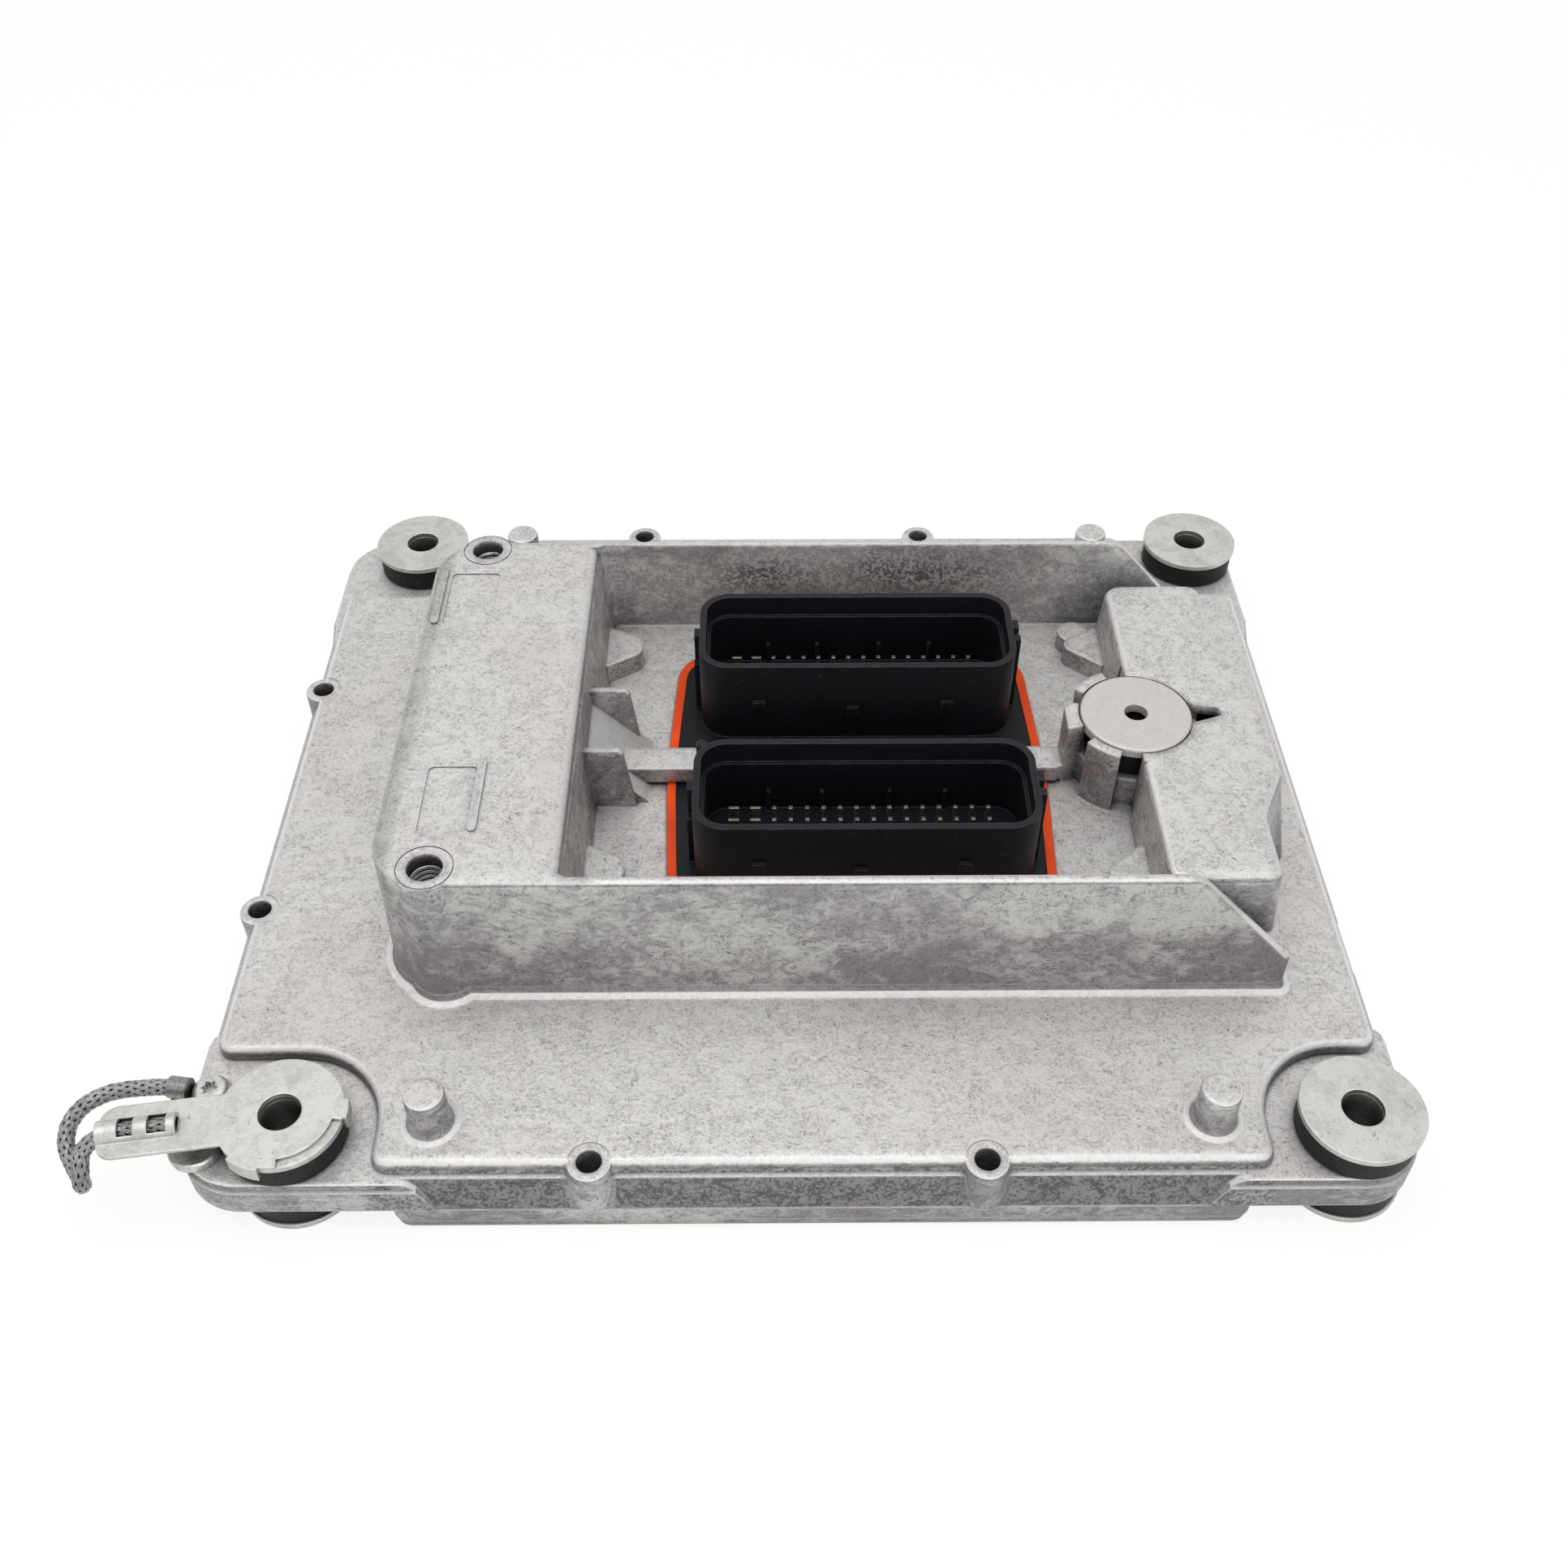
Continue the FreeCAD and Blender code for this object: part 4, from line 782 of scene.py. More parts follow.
    def darkened(self, colour: Shade) -> Shade:
        """Add painted shade: the darker band along the tower's left edge, rounded upper edges,
        corners, recesses and bores.

        Args:
            colour: The colour below.

        Returns:
            The new colour.
        """
        look = self.look
        # Painted shade in a band along the tower's rounded left edge.
        band_shade = (self.x * -1.0).step(*look.band_shade) * self.height.step(*look.tower_top)
        band_shade = band_shade * self.patch.step(*GENTLE).between(*look.band_shade_range)
        colour = self.tone(band_shade, colour, look.band_shade_tone)
        # Painted shade on the rounded upper edges of the soft ends.
        edge_shade = self.edges(look.soft_round) * self.soft
        edge_shade = edge_shade * self.blot.step(*CRISP).between(*look.edge_shade_range)
        colour = self.tone(edge_shade, colour, look.edge_shade_tone)
        # Painted shade in corners.
        for corner_shade in look.corner_shade:
            colour = self.corner_shaded(colour, corner_shade)
        # Painted shade on steep faces in recesses, lifted on the back wall's depth.
        recess = self.depth.step(*look.recess_shade_span) * self.side
        recess = recess * (look.recess_shade_strength - self.deep * look.recess_shade_strength)
        colour = self.tone(recess, colour, look.recess_shade_tone)
        # Painted shade inside the stud holes.
        for bore in look.bores:
            inside = self.near(*bore) * (1.0 - self.height.step(*look.bore_rim))
            colour = self.tone(inside, colour, look.bore_shade_tone)
        return colour

    def make(self) -> bpy.types.Material:
        """Return the material."""
        look = self.look
        skin = self.blot * 0.40 + self.curl * 0.25 + self.speck * 0.25 + self.grain * 0.10
        rounding = self.blended(self.soft, look.plain_round, look.soft_round)
        roughness = look.roughness + self.patch * look.patch_roughness
        roughness = roughness + self.speck * look.speck_roughness
        return self.surface(
            Base_Color=self.darkened(self.worn_and_highlit(self.marked(self.metal()))),
            Metallic=look.metallic,
            Roughness=roughness,
            Normal=self.bump(skin, look.relief, rounding),
        )


@dataclass(frozen=True)
class ZincPlate:
    """Bright zinc on steel: pale, a little green, scratched, with painted highlights on its rims.
    """

    name: str = "zinc_plate"
    light: Colour = (0.60, 0.605, 0.57)
    dark: Colour = (0.41, 0.415, 0.385)
    scratch: Colour = (0.10, 0.10, 0.09)
    # Colour of the painted highlight on the rims.
    rim: Colour = (0.86, 0.87, 0.83)
    # Painted shade in corners, near black deep in hollows.
    corner_shade: tuple[CornerShade, ...] = (
        CornerShade(0.0030, (0.40, 0.90), 0.60, (0.30, 0.30, 0.28)),
        CornerShade(0.0140, (0.45, 0.85), 0.97, (0.05, 0.05, 0.05)),
    )
    clouds: Noise = Noise(110.0, 4.0, 0.6, 0.8)
    blots: Noise = Noise(420.0, 3.0, 0.6, 1.4, shift=2.0)
    nicks: Noise = Noise(560.0, 2.0, 0.6, 2.6, shift=5.0)
    arcs: Noise = Noise(130.0, 1.0, 0.4, 1.0, shift=9.0)
    tint_span: Span = (0.42, 0.62)
    tint_strength: float = 0.62
    nick_span: Span = (0.67, 0.70)
    nick_strength: float = 0.55
    arc_line: Span = (0.0008, 0.0045)
    arc_span: Span = (0.46, 0.60)
    arc_strength: float = 0.40
    rim_radius: float = 0.0005
    rim_highlight_strength: float = 0.75
    relief: float = 0.00012
    roughness: float = 0.30
    cloud_roughness: float = 0.16
    blot_roughness: float = 0.08
    metallic: float = 0.70

    def make(self) -> bpy.types.Material:
        """Return the material."""
        graph = MaterialGraph(self.name)
        cloud = graph.noise(self.clouds)
        blot = graph.noise(self.blots)
        nick = graph.noise(self.nicks)
        tint = (cloud * 0.6 + blot * 0.4).step(*self.tint_span) * self.tint_strength
        colour = graph.mix(tint, self.light, self.dark)
        nicks = nick.step(*self.nick_span) * self.nick_strength
        colour = graph.mix(nicks, colour, self.scratch)
        arcs = graph.line(graph.noise(self.arcs), *self.arc_line)
        arcs = arcs * blot.step(*self.arc_span) * self.arc_strength
        colour = graph.mix(arcs, colour, self.scratch)
        # Painted highlight on the rims.
        colour = graph.mix(graph.edges(self.rim_radius) * self.rim_highlight_strength, colour, self.rim)
        # Painted shade in corners.
        for corner_shade in self.corner_shade:
            colour = graph.corner_shaded(colour, corner_shade)
        roughness = self.roughness + cloud * self.cloud_roughness + blot * self.blot_roughness
        return graph.surface(
            Base_Color=colour,
            Metallic=self.metallic,
            Roughness=roughness,
            Normal=graph.bump(nick * 0.4 + blot * 0.6, self.relief, graph.rounded(self.rim_radius)),
        )


@dataclass(frozen=True)
class Moulding:
    """Moulded plastic or rubber: one colour, fine skin, bright edges that are partly wear and
    partly painted highlight, and dust.

    The skin is its depth in metres, the scale its clouds per metre, and the level its shine.
    """

    name: str
    colour: Colour
    worn_and_highlit: Colour
    roughness: float = 0.45
    wear_and_highlight: float = 0.5
    dust: float = 0.05
    skin: float = 0.00004
    scale: float = 1800.0
    level: float = 0.5
    cloud_roughness: float = 0.12
    rub_roughness: float = 0.06
    faded: float = 1.5
    faded_span: Span = (0.35, 0.70)
    faded_strength: float = 0.5
    worn_and_highlit_span: Span = (0.40, 0.62)
    worn_and_highlit_range: Span = (0.35, 1.0)
    dust_colour: Colour = (0.6, 0.6, 0.6)
    dust_span: Span = (0.73, 0.77)
    clouds: Noise = Noise(90.0, 3.0, 0.55, 0.5, shift=4.0)
    dots: Noise = Noise(2200.0, 1.0, shift=8.0)
    rubs: Noise = Noise(240.0, 3.0, 0.65, 0.8, shift=6.0)
    edge_radius: float = 0.00032
    edge_round: float = 0.0004

    def make(self) -> bpy.types.Material:
        """Return the material."""
        graph = MaterialGraph(self.name)
        skin = graph.noise(Noise(self.scale, 3.0, 0.6))
        cloud = graph.noise(self.clouds)
        rub = graph.noise(self.rubs)
        red, green, blue = (part * self.faded for part in self.colour)
        faded = cloud.step(*self.faded_span) * self.faded_strength
        colour = graph.mix(faded, self.colour, (red, green, blue))
        rubbed = rub.step(*self.worn_and_highlit_span).between(*self.worn_and_highlit_range)
        # Bright edges: partly wear, partly painted highlight.
        colour = graph.mix(graph.edges(self.edge_radius) * self.wear_and_highlight * rubbed, colour, self.worn_and_highlit)
        dust = graph.noise(self.dots).step(*self.dust_span) * self.dust
        return graph.surface(
            Base_Color=graph.mix(dust, colour, self.dust_colour),
            Metallic=0.0,
            Roughness=self.roughness + cloud * self.cloud_roughness + rub * self.rub_roughness,
            Specular_IOR_Level=self.level,
            Normal=graph.bump(skin, self.skin, graph.rounded(self.edge_round)),
        )


@dataclass(frozen=True)
class TurnedMetal:
    """Plain machined or drawn metal with fine lines, and bright edges that are partly wear and
    partly painted highlight.
    """

    name: str
    colour: Colour
    dark: Colour
    roughness: float = 0.32
    metallic: float = 0.85
    stretch: Point = (1.0, 1.0, 0.1)
    cloud_roughness: float = 0.12
    line_span: Span = (0.38, 0.66)
    line_strength: float = 0.45
    cloud_span: Span = (0.45, 0.70)
    cloud_strength: float = 0.35
    clouds: Noise = Noise(200.0, 3.0, 0.6, 1.0, shift=5.0)
    # Bright colour of edges: partly wear, partly painted highlight.
    edge: Colour = (0.86, 0.86, 0.85)
    edge_radius: float = 0.0003
    edge_wear_and_highlight: float = 0.6
    # Painted shade in corners.
    corner_shade: CornerShade = CornerShade(0.0020, (0.35, 0.90), 0.75, (0.22, 0.21, 0.20))
    relief: float = 0.00006

    def make(self) -> bpy.types.Material:
        """Return the material."""
        graph = MaterialGraph(self.name)
        line = graph.noise(Noise(1500.0, 3.0, 0.6, 0.2, self.stretch))
        cloud = graph.noise(self.clouds)
        lines = line.step(*self.line_span) * self.line_strength
        clouds = cloud.step(*self.cloud_span) * self.cloud_strength
        colour = graph.mix(lines + clouds, self.colour, self.dark)
        # Bright edges: partly wear, partly painted highlight.
        colour = graph.mix(graph.edges(self.edge_radius) * self.edge_wear_and_highlight, colour, self.edge)
        return graph.surface(
            # Painted shade in corners.
            Base_Color=graph.corner_shaded(colour, self.corner_shade),
            Metallic=self.metallic,
            Roughness=self.roughness + cloud * self.cloud_roughness,
            Normal=graph.bump(line, self.relief, graph.rounded(self.edge_radius)),
        )


@dataclass(frozen=True)
class BoardLaminate:
    """Glass laminate with a green solder resist, lighter over its copper."""

    name: str = "board_laminate"
    colour: Colour = (0.02, 0.15, 0.06)
    copper: Colour = (0.05, 0.24, 0.09)
    copper_span: Span = (0.50, 0.54)
    copper_strength: float = 0.5
    roughness: float = 0.30
    weave_roughness: float = 0.15
    weave: Noise = Noise(900.0, 2.0)
    tracks: Noise = Noise(160.0, 1.0, 0.4, stretch=(1.0, 0.25, 1.0), shift=2.0)
    relief: float = 0.00003

    def make(self) -> bpy.types.Material:
        """Return the material."""
        graph = MaterialGraph(self.name)
        weave = graph.noise(self.weave)
        tracks = graph.noise(self.tracks).step(*self.copper_span) * self.copper_strength
        return graph.surface(
            Base_Color=graph.mix(tracks, self.colour, self.copper),
            Roughness=self.roughness + weave * self.weave_roughness,
            Normal=graph.bump(weave, self.relief),
        )


class Finish(Protocol):
    """A finish that makes a material."""

    def make(self) -> bpy.types.Material:
        """Return the material."""


class Palette:
    """Makes each finish once and gives it to the pieces."""

    def __init__(self) -> None:
        """Start with no finish made."""
        self._made: dict[str, bpy.types.Material] = {}
        radius = STUD_HOLE_RADIUS * MM
        self.finishes: dict[str, Finish] = {
            "cast_aluminium": CastAluminium(
                bores=tuple((x * MM, y * MM, radius) for x, y in STUD_HOLES),
                bosses=((-0.0515, -0.1147, 0.0062), (0.0360, -0.1147, 0.0062)),
            ),
            "cover_aluminium": CastAluminium(
                name="cover_aluminium",
                wall=(0.62, 0.62, 0.57),
                shade=(0.27, 0.27, 0.255),
                skirt_top=-1.0,
            ),
            "zinc_steel": ZincPlate(),
            "black_plastic": Moulding(
                "black_plastic",
                colour=(0.0052, 0.0060, 0.0085),
                worn_and_highlit=(0.16, 0.175, 0.19),
                roughness=0.40,
                wear_and_highlight=0.75,
                dust=0.14,
                level=0.24,
            ),
            "black_rubber": Moulding(
                "black_rubber",
                colour=(0.006, 0.0065, 0.010),
                worn_and_highlit=(0.03, 0.03, 0.035),
                roughness=0.50,
                wear_and_highlight=0.4,
                dust=0.25,
                skin=0.00006,
                scale=900.0,
                level=0.3,
            ),
            "orange_silicone": Moulding(
                "orange_silicone",
                colour=(0.90, 0.082, 0.011),
                worn_and_highlit=(0.97, 0.26, 0.12),
                roughness=0.42,
                wear_and_highlight=0.35,
                dust=0.10,
                skin=0.00003,
                scale=700.0,
                level=0.25,
            ),
            "grey_silicone": Moulding("grey_silicone", (0.22, 0.22, 0.23), (0.30, 0.30, 0.31), 0.5),
            "thermal_grey": Moulding("thermal_grey", (0.42, 0.44, 0.47), (0.5, 0.5, 0.5), 0.7),
            "chip_black": Moulding("chip_black", (0.016, 0.016, 0.016), (0.05, 0.05, 0.05), 0.5),
            # Near-black membrane: its dark colour is painted shade, standing in for the shade
            # inside the vent's hole.
            "membrane": Moulding(
                "membrane", (0.020, 0.018, 0.018), (0.05, 0.05, 0.05), 0.8, level=0.2
            ),
            "capacitor_can": Moulding("capacitor_can", (0.03, 0.035, 0.07), (0.1, 0.1, 0.12), 0.35),
            "vent_metal": TurnedMetal(
                "vent_metal", (0.63, 0.61, 0.585), (0.53, 0.51, 0.49), 0.42, 0.45
            ),
            "screw_steel": TurnedMetal(
                "screw_steel", (0.66, 0.655, 0.64), (0.30, 0.295, 0.285), 0.24
            ),
            "pin_metal": TurnedMetal("pin_metal", (0.33, 0.31, 0.25), (0.07, 0.068, 0.06), 0.32),
            "tinned_copper": TurnedMetal(
                "tinned_copper",
                colour=(0.30, 0.30, 0.31),
                dark=(0.070, 0.070, 0.076),
                roughness=0.22,
                metallic=0.9,
                stretch=(1.0, 1.0, 1.0),
            ),
            "ferrite": TurnedMetal("ferrite", (0.42, 0.16, 0.06), (0.20, 0.07, 0.03), 0.35, 0.6),
            "board_green": BoardLaminate(),
        }

    def get(self, slot: str) -> bpy.types.Material:
        """Return the finish of one of the record's slots, made on first use.

        Args:
            slot: The slot's name.

        Returns:
            The material.
        """
        if slot not in self._made:
            self._made[slot] = self.finishes[slot].make()
        return self._made[slot]

    def dress_nodes(self) -> None:
        """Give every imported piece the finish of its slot."""
        for entry in FRAME["record"]["subparts"]:
            node = FRAME["nodes"][entry["node"]]
            node.data.materials.clear()
            node.data.materials.append(self.get(entry["material_slot"]))
            LOG.info("finish %s on %s", entry["material_slot"], entry["node"])


PALETTE = Palette()


def select_only(obj: bpy.types.Object) -> None:
    """Select one object and make it active.

    Args:
        obj: The object.
    """
    bpy.ops.object.select_all(action="DESELECT")
    obj.select_set(True)
    bpy.context.view_layer.objects.active = obj


def settle(obj: bpy.types.Object, name: str, slot: str) -> None:
    """Name a finished piece, place it for good and give it its finish.

    Args:
        obj: The modelled object.
        name: Its name.
        slot: The record's slot for its finish.
    """
    select_only(obj)
    bpy.ops.object.transform_apply(location=True, rotation=True, scale=True)
    obj.name = name
    obj.data.name = name
    obj.data.materials.clear()
    obj.data.materials.append(PALETTE.get(slot))
    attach(obj, BODY)
    LOG.info("piece %s: %d faces", name, len(obj.data.polygons))


def join(pieces: Sequence[bpy.types.Object]) -> bpy.types.Object:
    """Join objects into the first.

    Args:
        pieces: The objects.

    Returns:
        The first, which holds all.
    """
    bpy.ops.object.select_all(action="DESELECT")
    for piece in pieces:
        piece.select_set(True)
    bpy.context.view_layer.objects.active = pieces[0]
    bpy.ops.object.join()
    return pieces[0]


def apply_modifiers(obj: bpy.types.Object) -> None:
    """Apply every modifier of an object, in order.

    Args:
        obj: The object.
    """
    select_only(obj)
    for modifier in list(obj.modifiers):
        bpy.ops.object.modifier_apply(modifier=modifier.name)


@dataclass
class ThreadedBoss:
    """The thread in each of the tower's two stud holes, in millimetres."""

    places: tuple[tuple[float, float], ...] = STUD_HOLES
    radius: float = STUD_HOLE_RADIUS
    inset: float = 0.12
    top: float = 55.0
    pitch: float = 1.5
    depth: float = 0.50
    turns: int = 8
    steps: int = 40

    def ridge(self) -> bpy.types.Object:
        """Turn one open ridge round the Z axis.

        Returns:
            The ridge, its top at the origin's height.
        """
        bpy.ops.object.select_all(action="DESELECT")
        bpy.ops.mesh.primitive_circle_add(
            vertices=3,
            radius=self.depth * MM,
            location=mm(self.radius - self.inset, 0, 0),
            rotation=(math.pi / 2, 0, math.pi),
        )
        ridge = bpy.context.object
        bpy.ops.object.transform_apply(location=True, rotation=True, scale=True)
        screw = ridge.modifiers.new("thread", "SCREW")
        screw.axis = "Z"
        screw.screw_offset = -self.pitch * MM
        screw.iterations = self.turns
        screw.steps = self.steps
        screw.render_steps = self.steps
        screw.use_merge_vertices = False
        apply_modifiers(ridge)
        return ridge

    def close(self, ridge: bpy.types.Object) -> None:
        """Close a ridge's two ends, turn its faces outwards and shade it smooth.

        Args:
            ridge: The open ridge.
        """
        select_only(ridge)
        bpy.ops.object.mode_set(mode="EDIT")
        bpy.ops.mesh.select_all(action="SELECT")
        bpy.ops.mesh.fill_holes(sides=3)
        bpy.ops.mesh.normals_make_consistent(inside=False)
        bpy.ops.object.mode_set(mode="OBJECT")
        bpy.ops.object.shade_smooth_by_angle(angle=SMOOTH_ANGLE)

    def build(self) -> None:
        """Model the thread of each hole."""
        threads = []
        for x, y in self.places:
            ridge = self.ridge()
            ridge.location = mm(x, y, self.top)
            self.close(ridge)
            bpy.ops.object.transform_apply(location=True)
            threads.append(ridge)
        settle(join(threads), "stud_threads", "screw_steel")


@dataclass
class StarScrew:
    """The screw that holds the strap's lug: a domed head with a six-lobed recess, and its shank.

    Lengths are in millimetres. The foot is the middle of the head's underside.
    """

    foot: Point = (-139.5, -94.5, 17.5)
    head_radius: float = 4.2
    head_height: float = 2.6
    dome: float = 1.5
    dome_steps: int = 8
    recess_radius: float = 1.60
    recess_depth: float = 1.7
    recess_margin: float = 1.0
    lobes: int = 6
    lobe: float = 0.20
    shank_radius: float = 2.0
    shank_depth: float = 6.8
    shank_overlap: float = 0.2
    sides: int = 72

    def cylinder(self, radius: float, low: float, high: float) -> bpy.types.Object:
        """Add a cylinder on the screw's axis.

        Args:
            radius: Its radius.
            low: Its lower end, above the head's underside.
            high: Its upper end.

        Returns:
            The cylinder.
        """
        x, y, z = self.foot
        bpy.ops.object.select_all(action="DESELECT")
        bpy.ops.mesh.primitive_cylinder_add(
            vertices=self.sides,
            radius=radius * MM,
            depth=(high - low) * MM,
            location=mm(x, y, z + (low + high) / 2),
        )
        return bpy.context.object

    def lobed_cutter(self) -> bpy.types.Object:
        """Model the cutter of the recess.

        Returns:
            A bar with the recess's lobes, from its floor to above the head.
        """
        floor = self.head_height - self.recess_depth
        cutter = self.cylinder(self.recess_radius, floor, self.head_height + self.recess_margin)
        for vertex in cutter.data.vertices:
            angle = math.atan2(vertex.co.y, vertex.co.x)
            swell = 1.0 + self.lobe * math.cos(self.lobes * angle)
            vertex.co.x *= swell
            vertex.co.y *= swell
        return cutter

    def head(self) -> bpy.types.Object:
        """Model the head.

        Returns:
            The domed head with its recess.
        """
        head = self.cylinder(self.head_radius, 0.0, self.head_height)
        rim = head.vertex_groups.new(name="rim")
        rim.add([v.index for v in head.data.vertices if v.co.z > 0.0], 1.0, "REPLACE")
        bevel = head.modifiers.new("dome", "BEVEL")
        bevel.limit_method = "VGROUP"
        bevel.vertex_group = "rim"
        bevel.width = self.dome * MM
        bevel.segments = self.dome_steps
        cutter = self.lobed_cutter()
        recess = head.modifiers.new("recess", "BOOLEAN")
        recess.operation = "DIFFERENCE"
        recess.object = cutter
        apply_modifiers(head)
        bpy.data.objects.remove(cutter)
        return head

    def build(self) -> None:
        """Model the screw in the plain one's place."""
        head = self.head()
        shank = self.cylinder(self.shank_radius, -self.shank_depth, self.shank_overlap)
        screw = join([head, shank])
        bpy.ops.object.shade_smooth_by_angle(angle=SMOOTH_ANGLE)
        settle(screw, "star_screw", "screw_steel")
        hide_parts("ground_screw")


class Winding(Enum):
    """The way in which a wire winds round the braid."""

    LEFT = -1
    RIGHT = 1


@dataclass(frozen=True)
class Station:
    """A cross-section of the braid, in metres: its distance, its centre and its two directions."""

    along: float
    place: Vector
    up: Vector
    side: Vector


@dataclass
class GroundStrap:
    """The braided strap from the ring terminal's crimp round to the lug, in millimetres.

    The core is a plain tube inside the woven wires, so that nothing shows through the gaps. The
    lay is the length of one turn. Sink, weave and sway are shares of a wire's radius: how deep the
    wires' middle lies, how far they cross over and under, and how unevenly they lie.
    """

    route: tuple[Point, ...] = (
        (-153.173, -109.663, 25.4),
        (-161.888, -110.887, 25.4),
        (-161.3, -119.3, 21.0),
        (-163.1, -116.4, 13.6),
        (-170.7, -106.0, 18.1),
        (-164.9, -97.5, 21.9),
        (-151.5, -93.3, 19.3),
        (-144.6, -94.6, 19.7),
    )
    route_steps: int = 24
    crimp_start: Point = (-142.776, -108.202, 25.4)
    crimp_steps: int = 20
    radius: float = 2.0
    core: float = 1.38
    wire: float = 0.15
    wires: int = 3
    carriers: int = 8
    lay: float = 27.0
    sink: float = 2.2
    weave: float = 0.90
    sway: float = 0.30
    sway_pace: float = 2.3
    sway_shift: float = 2.1
    step: float = 0.6
    least_steps: int = 24

    def smooth_route(self) -> list[Vector]:
        """Draw the smooth line through the route.

        Returns:
            Points along it, in metres.
        """
        curve = bpy.data.curves.new("route", "CURVE")
        curve.dimensions = "3D"
        curve.resolution_u = self.route_steps
        spline = curve.splines.new("NURBS")
        spline.points.add(len(self.route) - 1)
        for target, point in zip(spline.points, self.route):
            target.co = (*mm(*point), 1.0)
        spline.order_u = 3
        spline.use_endpoint_u = True
        holder = bpy.data.objects.new("route", curve)
        bpy.context.collection.objects.link(holder)
        bpy.context.view_layer.update()
        graph = bpy.context.evaluated_depsgraph_get()
        mesh = bpy.data.meshes.new_from_object(holder.evaluated_get(graph))
        points = [v.co.copy() for v in mesh.vertices]
        bpy.data.objects.remove(holder)
        bpy.data.curves.remove(curve)
        bpy.data.meshes.remove(mesh)
        return points

    def stations(self, line: Sequence[Vector]) -> list[Station]:
        """Return even cross-sections along a line, without twist.

        Args:
            line: The points of the braid's centre, in metres.

        Returns:
            The cross-sections, from the line's start to its end.
        """
        lengths = [0.0]
        for first, second in zip(line, line[1:]):
            lengths.append(lengths[-1] + (second - first).length)
        total = lengths[-1]
        count = max(self.least_steps, int(total / (self.step * MM)))
        stations: list[Station] = []
        normal = Vector((0, 0, 1))
        index = 0
        for i in range(count + 1):
            along = total * i / count
            while index < len(lengths) - 2 and lengths[index + 1] < along:
                index += 1
            gap = max(1e-9, lengths[index + 1] - lengths[index])
            place = line[index].lerp(line[index + 1], (along - lengths[index]) / gap)
            heading = (line[index + 1] - line[index]).normalized()
            normal = (normal - heading * normal.dot(heading)).normalized()
            stations.append(Station(along, place, normal.copy(), heading.cross(normal)))
        return stations

    def wire_point(self, station: Station, winding: Winding, carrier: int, wire: int) -> Vector:
        """Return where one wire passes through one cross-section.

        Args:
            station: The cross-section.
            winding: The way in which the wire winds.
            carrier: The number of its bundle.
            wire: Its number in the bundle.

        Returns:
            The point, in metres.
        """
        way = winding.value
        base = (self.radius - self.wire * self.sink) * MM
        first = 0.5 if winding is Winding.RIGHT else 0.0
        start = 2 * math.pi * (carrier + first) / self.carriers
        turn = start + way * 2 * math.pi * station.along / (self.lay * MM)
        weave = math.sin(self.carriers * turn) * way * self.weave
        pace = self.sway_pace * station.along / MM / self.lay * 2 * math.pi
        sway = math.sin(pace + self.sway_shift * carrier + way) * self.sway
        reach = base + (weave + sway) * self.wire * MM
        angle = turn + (wire - (self.wires - 1) / 2) * (2.0 * self.wire * MM / base)
        across = station.up * (math.cos(angle) * reach) + station.side * (math.sin(angle) * reach)
        return station.place + across

    def strands(self, line: Sequence[Vector], name: str) -> bpy.types.Object:
        """Model the core and the woven wires that run along a line.

        Args:
            line: The points of the braid's centre, in metres.
            name: The name of the piece.

        Returns:
            The mesh of all wires.
        """
        stations = self.stations(line)
        curve = bpy.data.curves.new(name, "CURVE")
        curve.dimensions = "3D"
        curve.bevel_depth = self.wire * MM
        curve.bevel_resolution = 0
        curve.use_fill_caps = True
        core = curve.splines.new("POLY")
        core.points.add(len(stations) - 1)
        for point, station in zip(core.points, stations):
            point.co = (*station.place, 1.0)
            point.radius = self.core / self.wire
        for winding in Winding:
            for number in range(self.carriers * self.wires):
                carrier, wire = divmod(number, self.wires)
                spline = curve.splines.new("POLY")
                spline.points.add(len(stations) - 1)
                for point, station in zip(spline.points, stations):
                    point.co = (*self.wire_point(station, winding, carrier, wire), 1.0)
        holder = bpy.data.objects.new(name, curve)
        bpy.context.collection.objects.link(holder)
        select_only(holder)
        bpy.ops.object.convert(target="MESH")
        braid = bpy.context.object
        bpy.ops.object.shade_smooth()
        return braid

    def build(self) -> None:
        """Model the free braid and its end in the crimp."""
        line = self.smooth_route()
        braid = self.strands(line, "braid_strands")
        settle(braid, "braid_strands", "tinned_copper")
        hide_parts("ground_braid")
        length = sum((b - a).length for a, b in zip(line, line[1:]))
        tuple(line[0])
        [tuple(p) for p in line]
        start = mm(*self.crimp_start)
        stop = mm(*self.route[0])
        count = self.crimp_steps
        straight = [start.lerp(stop, i / count) for i in range(count + 1)]
        crimped = self.strands(straight, "crimped_strands")
        settle(crimped, "crimped_strands", "tinned_copper")


@dataclass(frozen=True)
class Lamp:
    """A soft square lamp: where it hangs and points, its side in metres, and its power in watts."""

    name: str
    place: Point
    aim: Point
    size: float
    power: float

    def hang(self) -> None:
        """Add the lamp."""
        data = bpy.data.lights.new(self.name, "AREA")
        data.shape = "SQUARE"
        data.size = self.size
        data.energy = self.power
        holder = bpy.data.objects.new(self.name, data)
        holder.location = self.place
        heading = Vector(self.aim) - Vector(self.place)
        holder.rotation_euler = heading.to_track_quat("-Z", "Y").to_euler()
        bpy.context.collection.objects.link(holder)


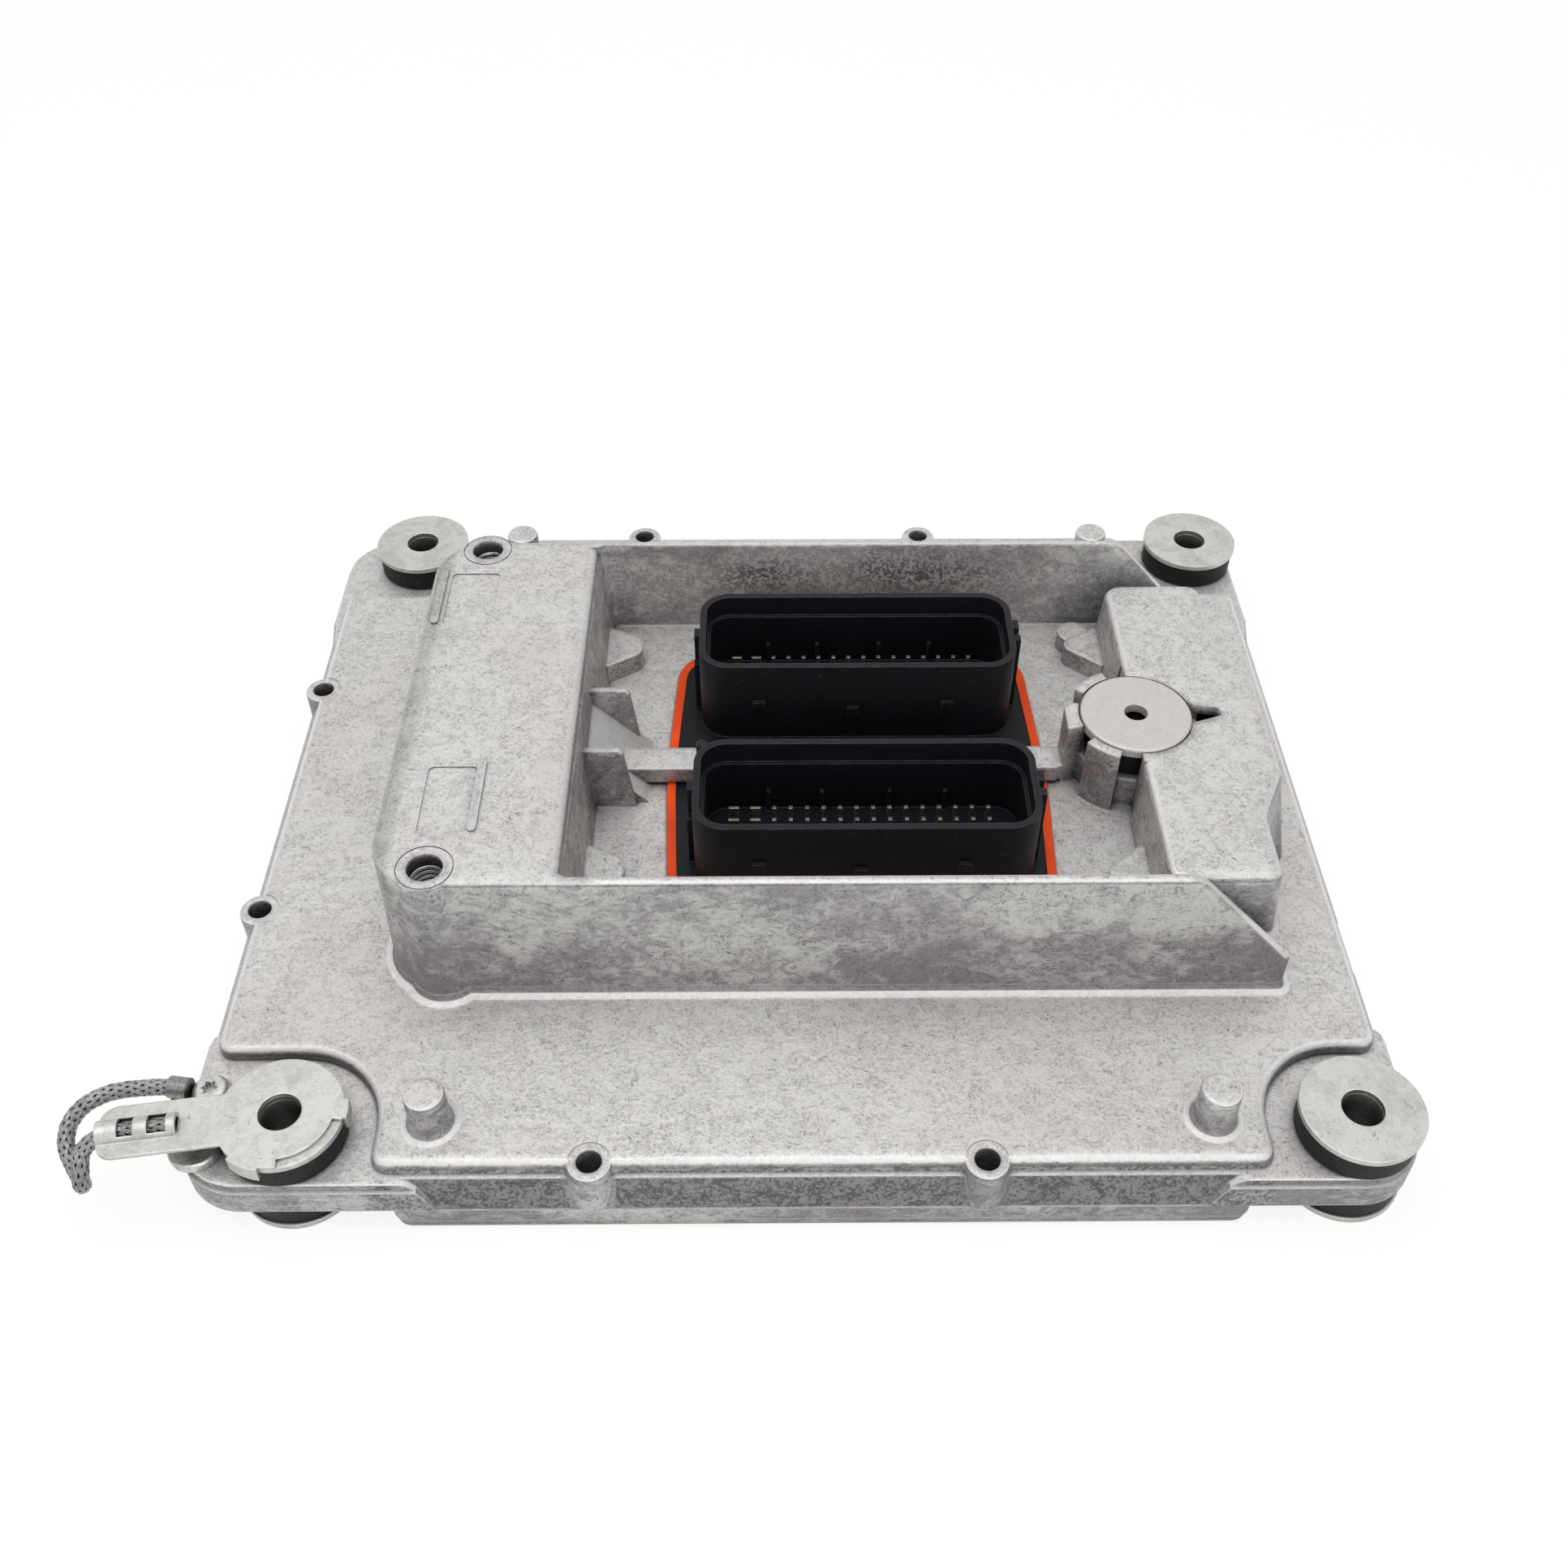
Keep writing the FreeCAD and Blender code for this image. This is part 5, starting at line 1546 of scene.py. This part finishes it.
@dataclass
class Studio:
    """The camera, the lamps and the white floor.

    The eye is in millimetres, the angles in degrees, the focal length and the frame in pixels, the
    sensor in millimetres, and the rest in metres.
    """

    eye: Point = (-10.42, -307.2, 329.94)
    pitch: float = 45.03
    yaw: float = 0.48
    roll: float = -0.08
    focal: float = 1994.8
    frame: float = 1932.0
    sensor: float = 36.0
    view_range: Span = (0.01, 20.0)
    ambient: float = 0.50
    floor_size: float = 6.0
    floor_drop: float = 0.0002
    floor_white: Colour = (0.93, 0.93, 0.93)
    floor_glow: float = 1.07
    floor_share: float = 0.80
    lamps: tuple[Lamp, ...] = (
        Lamp("key", (-0.12, -0.10, 1.3), (0.0, 0.0, 0.0), 1.2, 7.2),
        Lamp("front_fill", (0.35, -1.2, 0.55), (0.0, 0.0, 0.03), 0.8, 2.4),
    )

    def camera(self) -> None:
        """Place the camera where the photograph was taken."""
        data = bpy.data.cameras.new("camera")
        data.sensor_width = self.sensor
        data.lens = self.focal / self.frame * self.sensor
        data.clip_start, data.clip_end = self.view_range
        holder = bpy.data.objects.new("camera", data)
        bpy.context.collection.objects.link(holder)
        turn = (
            Matrix.Rotation(math.radians(-self.yaw), 4, "Z")
            @ Matrix.Rotation(math.radians(90.0 - self.pitch), 4, "X")
            @ Matrix.Rotation(math.radians(-self.roll), 4, "Z")
        )
        holder.matrix_world = Matrix.Translation(mm(*self.eye)) @ turn
        bpy.context.scene.camera = holder

    def world(self) -> None:
        """Light the room evenly, and show it white."""
        world = bpy.data.worlds.new("studio")
        bpy.context.scene.world = world
        world.use_nodes = True
        graph = Graph(world.node_tree, "ShaderNodeOutputWorld")
        strength = self.ambient + graph.backdrop() * (1.0 - self.ambient)
        inputs = {"Color": (1.0, 1.0, 1.0), "Strength": strength}
        graph.finish(graph.node("ShaderNodeBackground", None, inputs))

    def floor(self) -> None:
        """Lay the white floor."""
        bpy.ops.object.select_all(action="DESELECT")
        bpy.ops.mesh.primitive_plane_add(size=self.floor_size, location=(0, 0, -self.floor_drop))
        plane = bpy.context.object
        plane.name = "floor"
        graph = MaterialGraph("floor_white")
        matt = graph.node("ShaderNodeBsdfDiffuse", None, {"Color": self.floor_white})
        glow = graph.node(
            "ShaderNodeEmission", None, {"Color": (1.0, 1.0, 1.0), "Strength": self.floor_glow}
        )
        inputs = {0: graph.backdrop() * self.floor_share, 1: matt.outputs[0], 2: glow.outputs[0]}
        graph.finish(graph.node("ShaderNodeMixShader", None, inputs))
        plane.data.materials.append(graph.material)

    def build(self) -> None:
        """Set up the studio."""
        self.camera()
        self.world()
        for lamp in self.lamps:
            lamp.hang()
        self.floor()
        bpy.context.scene.view_settings.view_transform = "Standard"


def main() -> None:
    """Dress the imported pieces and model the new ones."""
    logging.basicConfig(level=logging.INFO, format="%(message)s")
    Studio().build()
    GroundStrap().build()
    PALETTE.dress_nodes()
    ThreadedBoss().build()
    StarScrew().build()


if __name__ == "__main__":
    main()
